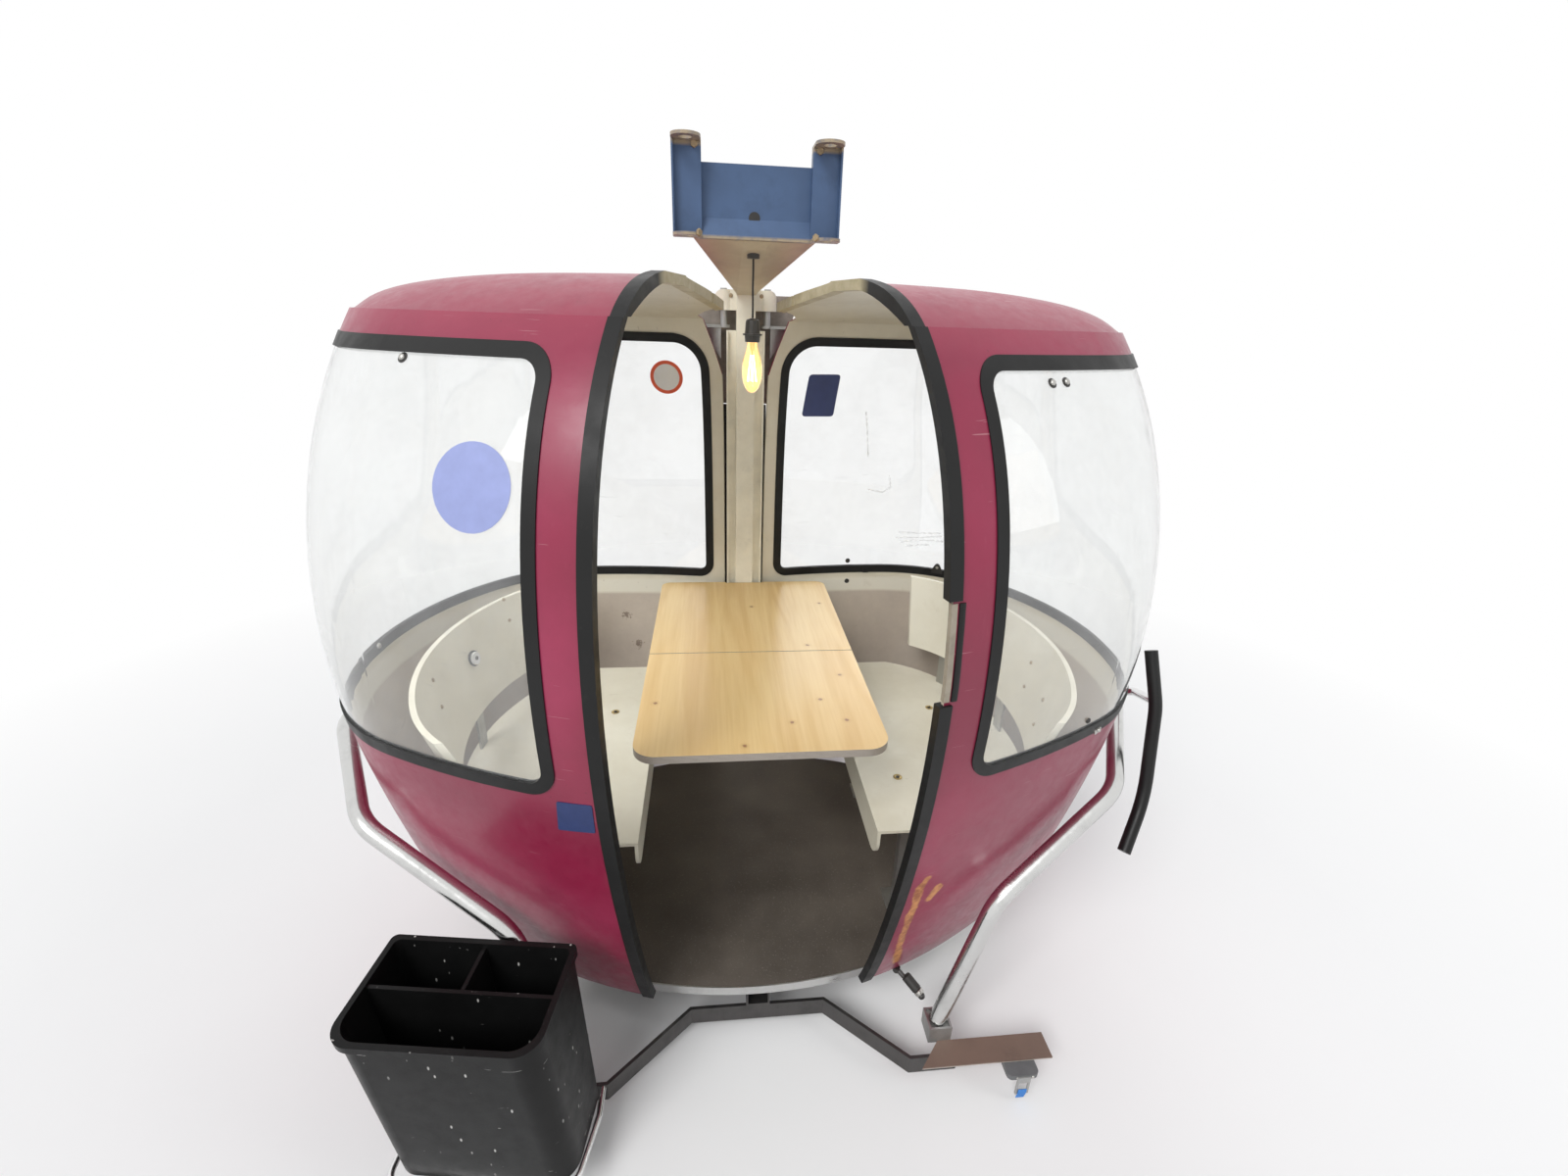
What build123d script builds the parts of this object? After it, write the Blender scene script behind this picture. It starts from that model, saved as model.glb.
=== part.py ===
from build123d import *
import math
import os

os.makedirs("parts", exist_ok=True)

# Lengths in mm. Built with the floor top at z 0, the post face at y 0 and the door side at -Y.
# Everything is then moved so that the origin is the middle of the two hanger lugs.
WALL = 8
SIDE_TOP = 1535
HINGE_X, HINGE_Y = 65, 30
OPEN_ANGLE = 14.3
SEAL_GAP = 3
SEAL_WIDE = 30
SEAL_THICK = 6
SEAL_BREAK_RIGHT = (905, 1105)
EDGE_IN = 14
STRIP_IN = 64

# Height, half length, front depth, rear depth, fullness, corner radius over half depth
SIDE_ROWS = [
    (0, 608, 985, 0, 1.61, 0.65),
    (100, 700, 1020, 8, 1.61, 0.68),
    (250, 755, 1060, 20, 1.61, 0.71),
    (715, 832, 1140, 35, 1.61, 0.72),
    (1100, 825, 1135, 32, 1.61, 0.72),
    (1300, 790, 1085, 20, 1.61, 0.72),
    (SIDE_TOP, 745, 930, -30, 1.61, 0.80),
]
ROOF_ROWS = [
    (SIDE_TOP, 738, 923, -37, 1.61, 0.80),
    (1575, 655, 850, -250, 1.21, 1.03),
    (1600, 470, 775, -470, 1.21, 1.41),
    (1612, 200, 705, -575, 1.21, 1.41),
]

# Window opening: inner edges, bottom, top and the corner radii
WIN_X = 115
WIN_BOTTOM, WIN_TOP = 722, 1480
WIN_R_FRONT, WIN_R_REAR_TOP, WIN_R_REAR_BOTTOM = 48, 95, 35
WIN_SPLIT_Y = -550
WIN_LIP = 13
PANE = 5

# Notch of the shells round the post head: front view (x, z) and plan (x, y)
NOTCH_LOW, NOTCH_HIGH = 1290, 1620
NOTCH_FRONT = [(-STRIP_IN, NOTCH_LOW), (-STRIP_IN, 1380), (-84, 1450), (-100, 1500), (-112, 1540),
               (-125, NOTCH_HIGH)]
NOTCH_PLAN = [(-EDGE_IN, -230), (-78, -150), (-130, -60), (-140, 120)]

# Post, its head and foot, hinge lobes and arms
POST_WIDE, POST_DEEP, POST_FLANGE_WIDE = 56, 60, 115
POST_TOP = 1505
POST_WALL = 5
FLANGE_FROM = 12
LOBE_R, LOBE_BORE_R, PIN_R = 27, 10.05, 10
HEAD_TALL, EAR_TALL, EAR_R = 127, 56, 24
HEAD_TOP = POST_TOP + HEAD_TALL
HEAD_LOBE_Z = (HEAD_TOP - EAR_TALL - 16, HEAD_TOP - 16)
ARM_THICK, ARM_ABOVE_POST = 8, 7
TOP_ARM_Z = POST_TOP + ARM_ABOVE_POST
GUSSET_LOW, GUSSET_IN, GUSSET_OUT, GUSSET_Y = TOP_ARM_Z - 87, 70, 125, 12
FOOT_ARM_Z = -12
FOOT_LOBE_Z = (-66, -25)
HUB_R, ARM_X, ARM_Y, ARM_WIDE = 18, (110, 230), -34, 34
LATCH_START, LATCH_END, LATCH_R, LATCH_KNOB_R = (111, -978, -7), (154, -1038, -50), 6, 9

# Hanger
PLATE = 6
BRACKET_Y = -455
BRACKET_HALF = 182
CHEEK_WIDE = 62
BRACKET_BOTTOM, LUG_TOP = 1700, 1886
LUG_REACH = 60
LUG_HOLE_R = 13.5
PLATE_RECESS, PLATE_FOLD, CENTRE_PLATE_TOP = 20, 1742, 1847
ARM_TIP_Z = (HEAD_TOP - 30, HEAD_TOP - 2)
ARM_END_HALF, ARM_END_TALL = 150, 24
MOUNT_Y = BRACKET_Y - PLATE - LUG_REACH + CHEEK_WIDE / 2
MOUNT_Z = LUG_TOP

# Floor and underframe
FLOOR_THICK = 25
FLOOR_INSET = 25
FLOOR_NOTCH = (95, 250, -52)
BEAM_WIDE, BEAM_TALL = 60, 60
BAR_TALL, BAR_THICK = 50, 8
FRONT_BAR_Y, FRONT_BAR_X = -945, 170
PLATE_Y, ARM_END_X = -1108, 355
REAR_BAR_Y = 215
BAR_TOP = -FLOOR_THICK - BEAM_TALL
CROSS_Y, CROSS_X, CROSS_SIZE = (-280, -720), 430, 40
FLAT_X_FRONT, FLAT_X_REAR = 470, 440
BIN_PLATE_X, BIN_PLATE_SLANT, BIN_PLATE_DEEP, BIN_PLATE_THICK = (375, 696), 55, 60, 5

# Bumper tubes: corner points of the right one, front to rear
TUBE_R = 21
TUBE_BEND = 120
SOCKET, SOCKET_WALL, SOCKET_RISE, SOCKET_DEEP = 56, 5, 4, 8
TUBE_FOOT_Z = -42
TUBE_POINTS = [
    (435, PLATE_Y + (BIN_PLATE_DEEP + SOCKET) / 2, TUBE_FOOT_Z),
    (548, -1015, 300),
    (868, -890, 500),
    (1018, -610, 572),
    (1018, -190, 572),
    (870, 150, 500),
    (570, 215, 300),
    (400, REAR_BAR_Y, TUBE_FOOT_Z),
]

# Seats, backrests and table
SEAT_TOP, SEAT_INNER, SEAT_FRONT, SEAT_REAR, SEAT_THICK = 420, 280, -905, -75, 8
SEAT_SKIRT, SEAT_SKIRT_R, SEAT_GAP = 90, 55, 16
LEG_X, LEG_Y = 412, (-250, -720)
LEG_SIZE, LEG_FOOT, LEG_FOOT_THICK = 25, 72, 5
BACK_TOP, BACK_BOTTOM, BACK_THICK = 752, 520, 12
BACK_FRONT, BACK_INNER = -965, 560
BACK_GAP_LOW, BACK_GAP_TOP = 44, 14
STAY_Y, STAY_WIDE = (-240, -500, -760), 40
TABLE_TOP, TABLE_THICK, TABLE_HALF = 700, 18, 275
TABLE_REAR, TABLE_SEAM, TABLE_FRONT, TABLE_R, TABLE_REAR_R = 4, -512, -965, 50, 30
TABLE_NOTCH_HALF, TABLE_NOTCH_Y = 62, -2
RAIL_X, RAIL, RAIL_SHORT = 145, 25, 110
BRACE_HALF, BRACE_LOW, BRACE_HIGH, BRACE_REACH = 15, 300, 345, (-430, -470)
POST_PLATE_HALF, POST_PLATE_LOW = 28, 280

# Strap block on the right bin plate
STRAP_X, STRAP_HALF, STRAP_Y, STRAP_TALL, STRAP_R = 612, 38, (-62, 6), 14, 12
BUCKLE_HALF, BUCKLE_THICK, BUCKLE_Z, BUCKLE_RIM = 16, 4, (-60, -4), 5

# Lamp
LAMP_X, LAMP_Y = 0, -345
CORD_R, CORD_CLEAR = 2.5, 5
GLAND_R, GLAND_LIP = 15, 4
HOLDER_R, HOLDER_TOP, HOLDER_TALL = 20, 1540, 56
BULB_R, BULB_TALL = 26, 122

# Ski bin: centre x and y, length and depth, at its base and at its rim
BIN_ROWS = [
    (-562, -1187, 370, 175),
    (-607, -1150, 385, 225),
]
BIN_TURN = -8
BIN_TOP, BIN_WALL, BIN_R, BIN_R_REAR = 300, 6, 50, 14
BIN_DIVIDE = 0.52
ROD_R, GUARD_BEND = 7, 30
GUARD_X = -ARM_END_X - ROD_R - 1
GUARD_POINTS = [(GUARD_X, PLATE_Y - BAR_THICK / 2), (GUARD_X, -1170), (-391, -1296), (-768, -1262),
                (-755, PLATE_Y), (-470, PLATE_Y)]

# Ski rest: its bar, top to bottom, and the arm that carries it from the right bumper tube
REST_R, REST_BEND, REST_ARM_R = 16, 250, 11
REST_POINTS = [(1015, -700, 780), (1022, -760, 650), (1002, -830, 420), (930, -900, 310)]
REST_ARM_POINTS = [(1018, -560, 572), (1046, -640, 622), (1021, -752, 660)]


def oval(row, inset=0.0, z=None):
    """One closed section of the body, from eight tangent arcs."""
    level, half, front, rear, full, corner = row
    level = level if z is None else z
    mid, deep = (rear - front) / 2, (rear + front) / 2
    r_long, r_end = full * half * half / deep - inset, full * deep * deep / half - inset
    r_corner = corner * deep - inset
    half, deep = half - inset, deep - inset
    fy, ex = deep - r_long, half - r_end
    da, db = r_long - r_corner, r_end - r_corner
    span = math.hypot(ex, fy)
    along = (da * da - db * db + span * span) / (2 * span)
    side = math.sqrt(max(da * da - along * along, 0.0))
    ux, uy = ex / span, -fy / span
    for sign in (1, -1):
        cx = ux * along - sign * uy * side
        cy = fy + uy * along + sign * ux * side
        t1 = (cx * r_long / da, fy + (cy - fy) * r_long / da)
        t2 = (ex + (cx - ex) * r_end / db, cy * r_end / db)
        if 0 < t1[0] < t2[0] and 0 < t2[1] < t1[1]:
            break
    a1 = math.atan2(t1[1] - cy, t1[0] - cx)
    a2 = math.atan2(t2[1] - cy, t2[0] - cx)
    am = (a1 + a2) / 2
    tm = (cx + r_corner * math.cos(am), cy + r_corner * math.sin(am))

    def p(x, y, sx, sy):
        return (sx * x, mid + sy * y, level)

    top, end = (0, deep), (half, 0)
    arcs = [
        (p(*t1, -1, -1), p(*top, 1, -1), p(*t1, 1, -1)),
        (p(*t1, 1, -1), p(*tm, 1, -1), p(*t2, 1, -1)),
        (p(*t2, 1, -1), p(*end, 1, 1), p(*t2, 1, 1)),
        (p(*t2, 1, 1), p(*tm, 1, 1), p(*t1, 1, 1)),
        (p(*t1, 1, 1), p(*top, 1, 1), p(*t1, -1, 1)),
        (p(*t1, -1, 1), p(*tm, -1, 1), p(*t2, -1, 1)),
        (p(*t2, -1, 1), p(*end, -1, 1), p(*t2, -1, -1)),
        (p(*t2, -1, -1), p(*tm, -1, -1), p(*t1, -1, -1)),
    ]
    edges = [Edge.make_three_point_arc(*arc) for arc in arcs]
    return Face(Wire(edges))


def row_at(z):
    """Body row at any height, between the rows of the table."""
    for low, high in zip(SIDE_ROWS, SIDE_ROWS[1:]):
        if low[0] <= z <= high[0]:
            f = (z - low[0]) / (high[0] - low[0])
            return tuple(a + (b - a) * f for a, b in zip(low, high))


def body(rows, inset):
    """Solid through the sections of a table. The roof also sinks by its inset."""
    sink = inset if rows is ROOF_ROWS else 0
    levels = [row[0] - (sink if i else 0) for i, row in enumerate(rows)]
    return Solid(loft([oval(row, inset, z) for row, z in zip(rows, levels)]).wrapped)


def skin(rows, outer, inner):
    return body(rows, outer) - body(rows, inner)


def box(x0, x1, y0, y1, z0, z1):
    return Pos((x0 + x1) / 2, (y0 + y1) / 2, (z0 + z1) / 2) * Box(abs(x1 - x0), abs(y1 - y0), abs(z1 - z0))


def rod(points, radius, bend=0.0):
    """Round bar along straight runs, with tangent bends."""
    path = FilletPolyline(*points, radius=bend) if bend else Polyline(*points)
    plane = Plane(origin=path @ 0, z_dir=path % 0)
    return sweep(plane * Circle(radius), path=path)


def drill(x, y, z0, z1, radius):
    return Pos(x, y, (z0 + z1) / 2) * Cylinder(radius, abs(z1 - z0))


def mirrored(shape):
    return mirror(shape, about=Plane.YZ)


def one(shape):
    """The single solid of a result."""
    found = shape.solids()
    return found[0] if len(found) == 1 else Compound(found)


def opened(shape, side):
    """Swing a half from closed to its parked angle. Side is -1 for the left half."""
    axis = Axis((side * HINGE_X, HINGE_Y, 0), (0, 0, 1))
    return shape.rotate(axis, side * OPEN_ANGLE)


def save(shape, name):
    export_step(Pos(0, -MOUNT_Y, -MOUNT_Z) * shape, "parts/" + name + ".step")


# Window prisms, as seen from the front, for the door side and the post side
def window_prism(grow):
    reach = 1200
    prisms = []
    for y0, y1, r_top, r_low in (
        (-1400, WIN_SPLIT_Y, WIN_R_FRONT, WIN_R_FRONT),
        (WIN_SPLIT_Y, 300, WIN_R_REAR_TOP, WIN_R_REAR_BOTTOM),
    ):
        x0, z0, z1 = WIN_X - grow, WIN_BOTTOM - grow, WIN_TOP + grow
        rt, rl = max(r_top + grow, 4), max(r_low + grow, 4)
        outline = Polyline(
            (-x0, 0, z0 + rl), (-x0, 0, z1 - rt),
        )
        wire = Wire([
            *outline.edges(),
            Edge.make_three_point_arc(
                (-x0, 0, z1 - rt), (-x0 - rt * (1 - math.sqrt(0.5)), 0, z1 - rt * (1 - math.sqrt(0.5))),
                (-x0 - rt, 0, z1)),
            Edge.make_line((-x0 - rt, 0, z1), (-reach, 0, z1)),
            Edge.make_line((-reach, 0, z1), (-reach, 0, z0)),
            Edge.make_line((-reach, 0, z0), (-x0 - rl, 0, z0)),
            Edge.make_three_point_arc(
                (-x0 - rl, 0, z0), (-x0 - rl * (1 - math.sqrt(0.5)), 0, z0 + rl * (1 - math.sqrt(0.5))),
                (-x0, 0, z0 + rl)),
        ])
        face = Face(wire)
        prisms.append(Pos(0, y0, 0) * Solid.extrude(face, Vector(0, y1 - y0, 0)))
    return prisms[0] + prisms[1]


# Notch round the post head: front view and plan
def head_notch():
    front = [(0, 0, NOTCH_LOW)] + [(x, 0, z) for x, z in NOTCH_FRONT] + [(0, 0, NOTCH_HIGH)]
    plan = [(x, y, NOTCH_LOW) for x, y in NOTCH_PLAN]
    plan = [(60, plan[0][1], NOTCH_LOW)] + plan + [(60, plan[-1][1], NOTCH_LOW)]
    front = Pos(0, -400, 0) * Solid.extrude(Face(Wire.make_polygon(front)), Vector(0, 600, 0))
    plan = Solid.extrude(Face(Wire.make_polygon(plan)), Vector(0, 0, NOTCH_HIGH - NOTCH_LOW))
    return front & plan


def half(shape, inner):
    """Keep the part of a body left of x = -inner."""
    return shape & box(-1500, -inner, -1500, 500, -100, 1800)


# Half shells
side_skin = skin(SIDE_ROWS, 0, WALL)
roof_skin = skin(ROOF_ROWS, 0, WALL)
notch = head_notch()
rear_strip = box(-STRIP_IN, 10, -300, 200, -50, 1700)
window_cut = window_prism(0)

side_shell = half(side_skin, EDGE_IN) - window_cut - notch - rear_strip
roof = half(roof_skin, EDGE_IN) - notch

# Panes sit in the middle of the wall and reach into the seal
pane_skin = skin(SIDE_ROWS, (WALL - PANE) / 2, (WALL + PANE) / 2)
window = pane_skin & window_prism(-1)

# Window seal: a frame round the opening, as thick as the wall and its lips
seal_skin = skin(SIDE_ROWS, -SEAL_THICK / 2, WALL + SEAL_THICK / 2)
seal_zone = window_prism(WIN_LIP) - window_prism(-WIN_LIP)
window_seal = (seal_skin & seal_zone) - side_skin.cut(window_cut) - window
window_seal = half(window_seal, EDGE_IN)

# Door seal: a channel over the free edge, up the front and over the roof
edge_zone = box(-SEAL_WIDE, -SEAL_GAP, -1500, -200, 2, 1700)
door_seal = skin(SIDE_ROWS, -SEAL_THICK, WALL + SEAL_THICK) & edge_zone
door_seal = door_seal & box(-200, 0, -1500, WIN_SPLIT_Y, -10, 1700)
roof_cover = body(ROOF_ROWS, -SEAL_THICK) & edge_zone
door_seal = door_seal + (roof_cover - Pos(0, 0, -SEAL_THICK) * body(ROOF_ROWS, WALL))
door_seal = door_seal - side_shell - roof - notch - drill(LAMP_X, LAMP_Y, SIDE_TOP, LUG_TOP, CORD_R + CORD_CLEAR)

# Hinge arms: a plate with its pin at the head and one at the foot
outer_side = body(SIDE_ROWS, 0)


def hinge_arm(z, pin_z0, pin_z1):
    near_x, far_x = ARM_X
    hub = drill(-HINGE_X, HINGE_Y, z, z + ARM_THICK, HUB_R)
    plan = Face(Wire.make_polygon([
        (-HINGE_X + 4, HINGE_Y + HUB_R - 1, z), (-HINGE_X - 4, HINGE_Y - HUB_R + 1, z), (-near_x, ARM_Y, z),
        (-far_x, ARM_Y - 6, z), (-far_x, ARM_Y + ARM_WIDE, z), (-near_x - 20, HINGE_Y + 12, z)]))
    plate = Solid.extrude(plan, Vector(0, 0, ARM_THICK))
    pin = drill(-HINGE_X, HINGE_Y, pin_z0, pin_z1, PIN_R)
    return hub + plate + pin


top_arm = hinge_arm(TOP_ARM_Z, TOP_ARM_Z, HEAD_LOBE_Z[1] + 4)
gusset = Solid.extrude(Face(Wire.make_polygon([
    (-GUSSET_IN, GUSSET_Y, TOP_ARM_Z), (-GUSSET_OUT, GUSSET_Y, TOP_ARM_Z),
    (-GUSSET_OUT, GUSSET_Y, TOP_ARM_Z - 10), (-GUSSET_IN, GUSSET_Y, GUSSET_LOW)])), Vector(0, 5, 0))
top_arm = top_arm + gusset - outer_side
foot_arm = hinge_arm(FOOT_ARM_Z, FOOT_LOBE_Z[0] - 6, FOOT_ARM_Z + ARM_THICK)
foot_lift = box(-ARM_X[1], -ARM_X[0], ARM_Y, ARM_Y + ARM_WIDE, FOOT_ARM_Z + ARM_THICK, 0)
foot_arm = foot_arm + foot_lift

HALF_PIECES = [
    (side_shell, "side_shell"),
    (roof, "roof"),
    (window, "window"),
    (window_seal, "window_seal"),
    (door_seal, "door_seal"),
]
for shape, name in HALF_PIECES:
    shape = one(shape)
    save(opened(shape, -1), name + "_left")
    if name == "door_seal":
        shape = one(shape - box(-200, 0, -1500, 0, *SEAL_BREAK_RIGHT))
    save(opened(mirrored(shape), 1), name + "_right")
arms = Compound([arm.solids().sort_by(SortBy.VOLUME)[-1] for arm in (top_arm, foot_arm)])
save(opened(arms, -1), "hinge_arms_left")
save(opened(mirrored(arms), 1), "hinge_arms_right")

# Latch rod under the right half
latch = rod([LATCH_START, LATCH_END], LATCH_R) + Pos(*LATCH_END) * Sphere(LATCH_KNOB_R)
latch = latch + drill(LATCH_START[0], LATCH_START[1], 2 * LATCH_START[2], 0, LATCH_KNOB_R)
save(opened(latch, 1), "latch_rod")

# Post, head and foot
post = box(-POST_WIDE / 2, POST_WIDE / 2, 0, POST_DEEP, -FLOOR_THICK, POST_TOP)
post = post - box(-POST_WIDE / 2 + POST_WALL, POST_WIDE / 2 - POST_WALL, POST_WALL, POST_DEEP - POST_WALL,
                  -FLOOR_THICK, POST_TOP)
for side in (-1, 1):
    x0, x1 = side * POST_WIDE / 2, side * POST_FLANGE_WIDE / 2
    post = post + box(x0, x1, 14, 14 + POST_WALL, FLANGE_FROM, POST_TOP)
    post = post + box(x1 - side * POST_WALL, x1, 2, 14, FLANGE_FROM, POST_TOP)
save(one(post), "spine_post")


def lobes(z0, z1):
    shape = box(-HINGE_X, HINGE_X, HINGE_Y - 20, HINGE_Y + 20, z0, z1)
    for side in (-1, 1):
        shape = shape + drill(side * HINGE_X, HINGE_Y, z0, z1, LOBE_R)
    for side in (-1, 1):
        shape = shape - drill(side * HINGE_X, HINGE_Y, z0 - 5, z1 + 5, LOBE_BORE_R)
    return shape


ear_x = HINGE_X + LOBE_R
ears = box(-ear_x, ear_x, HINGE_Y - LOBE_R - 1, HINGE_Y + LOBE_R + 1, *HEAD_LOBE_Z)
ears = fillet(ears.edges().filter_by(Axis.Y).sort_by(Axis.Z)[-2:], EAR_R)
head = box(-POST_WIDE / 2, POST_WIDE / 2, 0, POST_DEEP, POST_TOP, HEAD_TOP) + (lobes(*HEAD_LOBE_Z) & ears)
save(one(head), "hinge_head")
foot = lobes(*FOOT_LOBE_Z)
beam_slot = box(-BEAM_WIDE / 2, BEAM_WIDE / 2, -200, 400, BAR_TOP, -FLOOR_THICK)
foot = foot - beam_slot
save(Compound(foot.solids()), "hinge_foot")

# Hanger arm: narrow and deep at the post, wide and thin at the bracket, its wings folded up
def arm_section(y, wing, bottom, top, wing_z):
    w = POST_WIDE / 2
    return Face(Wire.make_polygon([
        (-w, y, bottom), (w, y, bottom), (wing, y, wing_z), (w, y, top), (-w, y, top), (-wing, y, wing_z)]))


arm_end_y = BRACKET_Y + PLATE_RECESS
hanger_arm = loft([
    arm_section(0, POST_WIDE / 2 + 1, *ARM_TIP_Z, ARM_TIP_Z[0] + 4),
    arm_section(arm_end_y, ARM_END_HALF, BRACKET_BOTTOM, BRACKET_BOTTOM + ARM_END_TALL, BRACKET_BOTTOM + 14),
], ruled=True)
save(one(hanger_arm), "hanger_arm")

# Hanger bracket: two cheeks with a lug at each end, and the plate between them
bracket = None
inner_x = BRACKET_HALF - CHEEK_WIDE
for side in (-1, 1):
    cheek = box(side * inner_x, side * BRACKET_HALF, BRACKET_Y - PLATE, BRACKET_Y, BRACKET_BOTTOM, LUG_TOP)
    cheek = cheek + box(side * (BRACKET_HALF - 4), side * BRACKET_HALF, BRACKET_Y - 22, BRACKET_Y,
                        BRACKET_BOTTOM, LUG_TOP)
    cheek = cheek + box(side * inner_x, side * (inner_x + PLATE), BRACKET_Y, arm_end_y, BRACKET_BOTTOM, LUG_TOP)
    for z0 in (BRACKET_BOTTOM, LUG_TOP - PLATE):
        xc = side * (BRACKET_HALF - CHEEK_WIDE / 2)
        lug = box(side * inner_x, side * BRACKET_HALF, MOUNT_Y, BRACKET_Y, z0, z0 + PLATE)
        lug = lug + drill(xc, MOUNT_Y, z0, z0 + PLATE, CHEEK_WIDE / 2)
        lug = lug - drill(xc, MOUNT_Y, z0 - 1, z0 + PLATE + 1, LUG_HOLE_R)
        cheek = cheek + lug
    bracket = cheek if bracket is None else bracket + cheek
plate_face = Face(Wire.make_polygon([
    (-inner_x, BRACKET_Y - PLATE, BRACKET_BOTTOM), (-inner_x, arm_end_y, BRACKET_BOTTOM),
    (-inner_x, arm_end_y, CENTRE_PLATE_TOP), (-inner_x, arm_end_y - PLATE, CENTRE_PLATE_TOP),
    (-inner_x, arm_end_y - PLATE, PLATE_FOLD), (-inner_x, BRACKET_Y - PLATE, BRACKET_BOTTOM + PLATE)]))
bracket = bracket + Solid.extrude(plate_face, Vector(2 * inner_x, 0, 0))
save(one(bracket), "hanger_bracket")

# Floor with its edge trim
floor = Solid.extrude(oval(SIDE_ROWS[0], FLOOR_INSET, -FLOOR_THICK), Vector(0, 0, FLOOR_THICK))
for side in (-1, 1):
    floor = floor - box(side * FLOOR_NOTCH[0], side * FLOOR_NOTCH[1], FLOOR_NOTCH[2], 300, -100, 100)
save(one(floor), "floor_panel")
trim_out = Solid.extrude(oval(SIDE_ROWS[0], FLOOR_INSET - 3, -FLOOR_THICK), Vector(0, 0, FLOOR_THICK))
trim = (trim_out - Solid.extrude(oval(SIDE_ROWS[0], FLOOR_INSET, -FLOOR_THICK - 1),
                                 Vector(0, 0, FLOOR_THICK + 2)))
trim = trim & box(-420, 420, -1200, -700, -100, 100)
save(one(trim), "floor_edge")

# Underframe: a centre beam, two cross members, and flat bars at both ends
beam = box(-BEAM_WIDE / 2, BEAM_WIDE / 2, FRONT_BAR_Y - BAR_THICK / 2, REAR_BAR_Y + BAR_THICK / 2,
           BAR_TOP, -FLOOR_THICK)
beam_hollow = box(-BEAM_WIDE / 2 + 5, BEAM_WIDE / 2 - 5, FRONT_BAR_Y - 50, REAR_BAR_Y + 50,
                  BAR_TOP + 5, -FLOOR_THICK - 5)
save(one(beam - beam_hollow), "centre_beam")
cross = []
for y in CROSS_Y:
    for side in (-1, 1):
        cross.append(box(side * BEAM_WIDE / 2, side * CROSS_X, y - CROSS_SIZE / 2, y + CROSS_SIZE / 2,
                         -FLOOR_THICK - CROSS_SIZE, -FLOOR_THICK))
save(Compound([s for c in cross for s in c.solids()]), "cross_members")


def flat_bar(points):
    """Flat bar on edge along straight runs in plan."""
    shape = None
    for (xa, ya), (xb, yb) in zip(points, points[1:]):
        length = math.hypot(xb - xa, yb - ya)
        angle = math.degrees(math.atan2(yb - ya, xb - xa))
        run = Pos((xa + xb) / 2, (ya + yb) / 2, BAR_TOP - BAR_TALL / 2) * Rot(0, 0, angle) * Box(
            length, BAR_THICK, BAR_TALL)
        shape = run if shape is None else shape + run
    for x, y in points[1:-1]:
        shape = shape + drill(x, y, BAR_TOP - BAR_TALL, BAR_TOP, BAR_THICK / 2)
    return shape


front_bar = flat_bar([(-FLAT_X_FRONT, PLATE_Y), (-ARM_END_X, PLATE_Y), (-FRONT_BAR_X, FRONT_BAR_Y),
                      (FRONT_BAR_X, FRONT_BAR_Y), (ARM_END_X, PLATE_Y), (FLAT_X_FRONT, PLATE_Y)])
save(one(front_bar), "front_bar")
rear_bar = flat_bar([(-FLAT_X_REAR, REAR_BAR_Y), (FLAT_X_REAR, REAR_BAR_Y)])
save(one(rear_bar), "rear_bar")

# Bin plates, slanted at their inner ends
(x0, x1), y0, y1 = BIN_PLATE_X, PLATE_Y - BIN_PLATE_DEEP / 2, PLATE_Y + BIN_PLATE_DEEP / 2
plate_plan = [(x0, y0, BAR_TOP), (x1, y0, BAR_TOP), (x1, y1, BAR_TOP), (x0 + BIN_PLATE_SLANT, y1, BAR_TOP)]
bin_plate = Solid.extrude(Face(Wire.make_polygon(plate_plan)), Vector(0, 0, BIN_PLATE_THICK))
save(one(bin_plate), "bin_plate_right")
save(one(mirrored(bin_plate)), "bin_plate_left")

# Bumper tubes, each end standing in an open square socket
tube = rod(TUBE_POINTS, TUBE_R, TUBE_BEND)
save(one(tube), "bumper_tube_right")
save(one(mirrored(tube)), "bumper_tube_left")
sockets = []
for side, run in ((-1, mirrored(tube)), (1, tube)):
    for x, y, z in (TUBE_POINTS[0], TUBE_POINTS[-1]):
        cx, w, top = side * x, SOCKET / 2, z + SOCKET_RISE
        inner = w - SOCKET_WALL
        block = box(cx - w, cx + w, y - w, y + w, BAR_TOP, top)
        block = block - box(cx - inner, cx + inner, y - inner, y + inner, top - SOCKET_DEEP, top)
        sockets.append(one(block - run))
save(Compound(sockets), "tube_clamps")

# Ski bin: three pockets, on the left plate, leaning from its base to its rim
base_z = BAR_TOP + BIN_PLATE_THICK


def bin_size(z):
    f = (z - base_z) / (BIN_TOP - base_z)
    cx, cy, long, deep = (low + (high - low) * f for low, high in zip(*BIN_ROWS))
    return Pos(cx, cy, z) * Rot(0, 0, BIN_TURN), long / 2, deep / 2


def bin_face(z, grow):
    """Outline of the bin at a height, rounded most at its front corners."""
    place, long, deep = bin_size(z)
    long, deep = long + grow, deep + grow
    r, q, d = BIN_R + min(grow, 0) * 0.5, BIN_R_REAR, 1 - math.sqrt(0.5)
    pts = [(-long, deep - q), (-long, -deep + r), (-long + r * d, -deep + r * d), (-long + r, -deep),
           (long - r, -deep), (long - r * d, -deep + r * d), (long, -deep + r), (long, deep - q),
           (long - q * d, deep - q * d), (long - q, deep), (-long + q, deep), (-long + q * d, deep - q * d)]
    edges = []
    for i in range(0, 12, 3):
        edges.append(Edge.make_line(pts[i], pts[i + 1]))
        edges.append(Edge.make_three_point_arc(pts[i + 1], pts[i + 2], pts[(i + 3) % 12]))
    return place * Face(Wire(edges))


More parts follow.
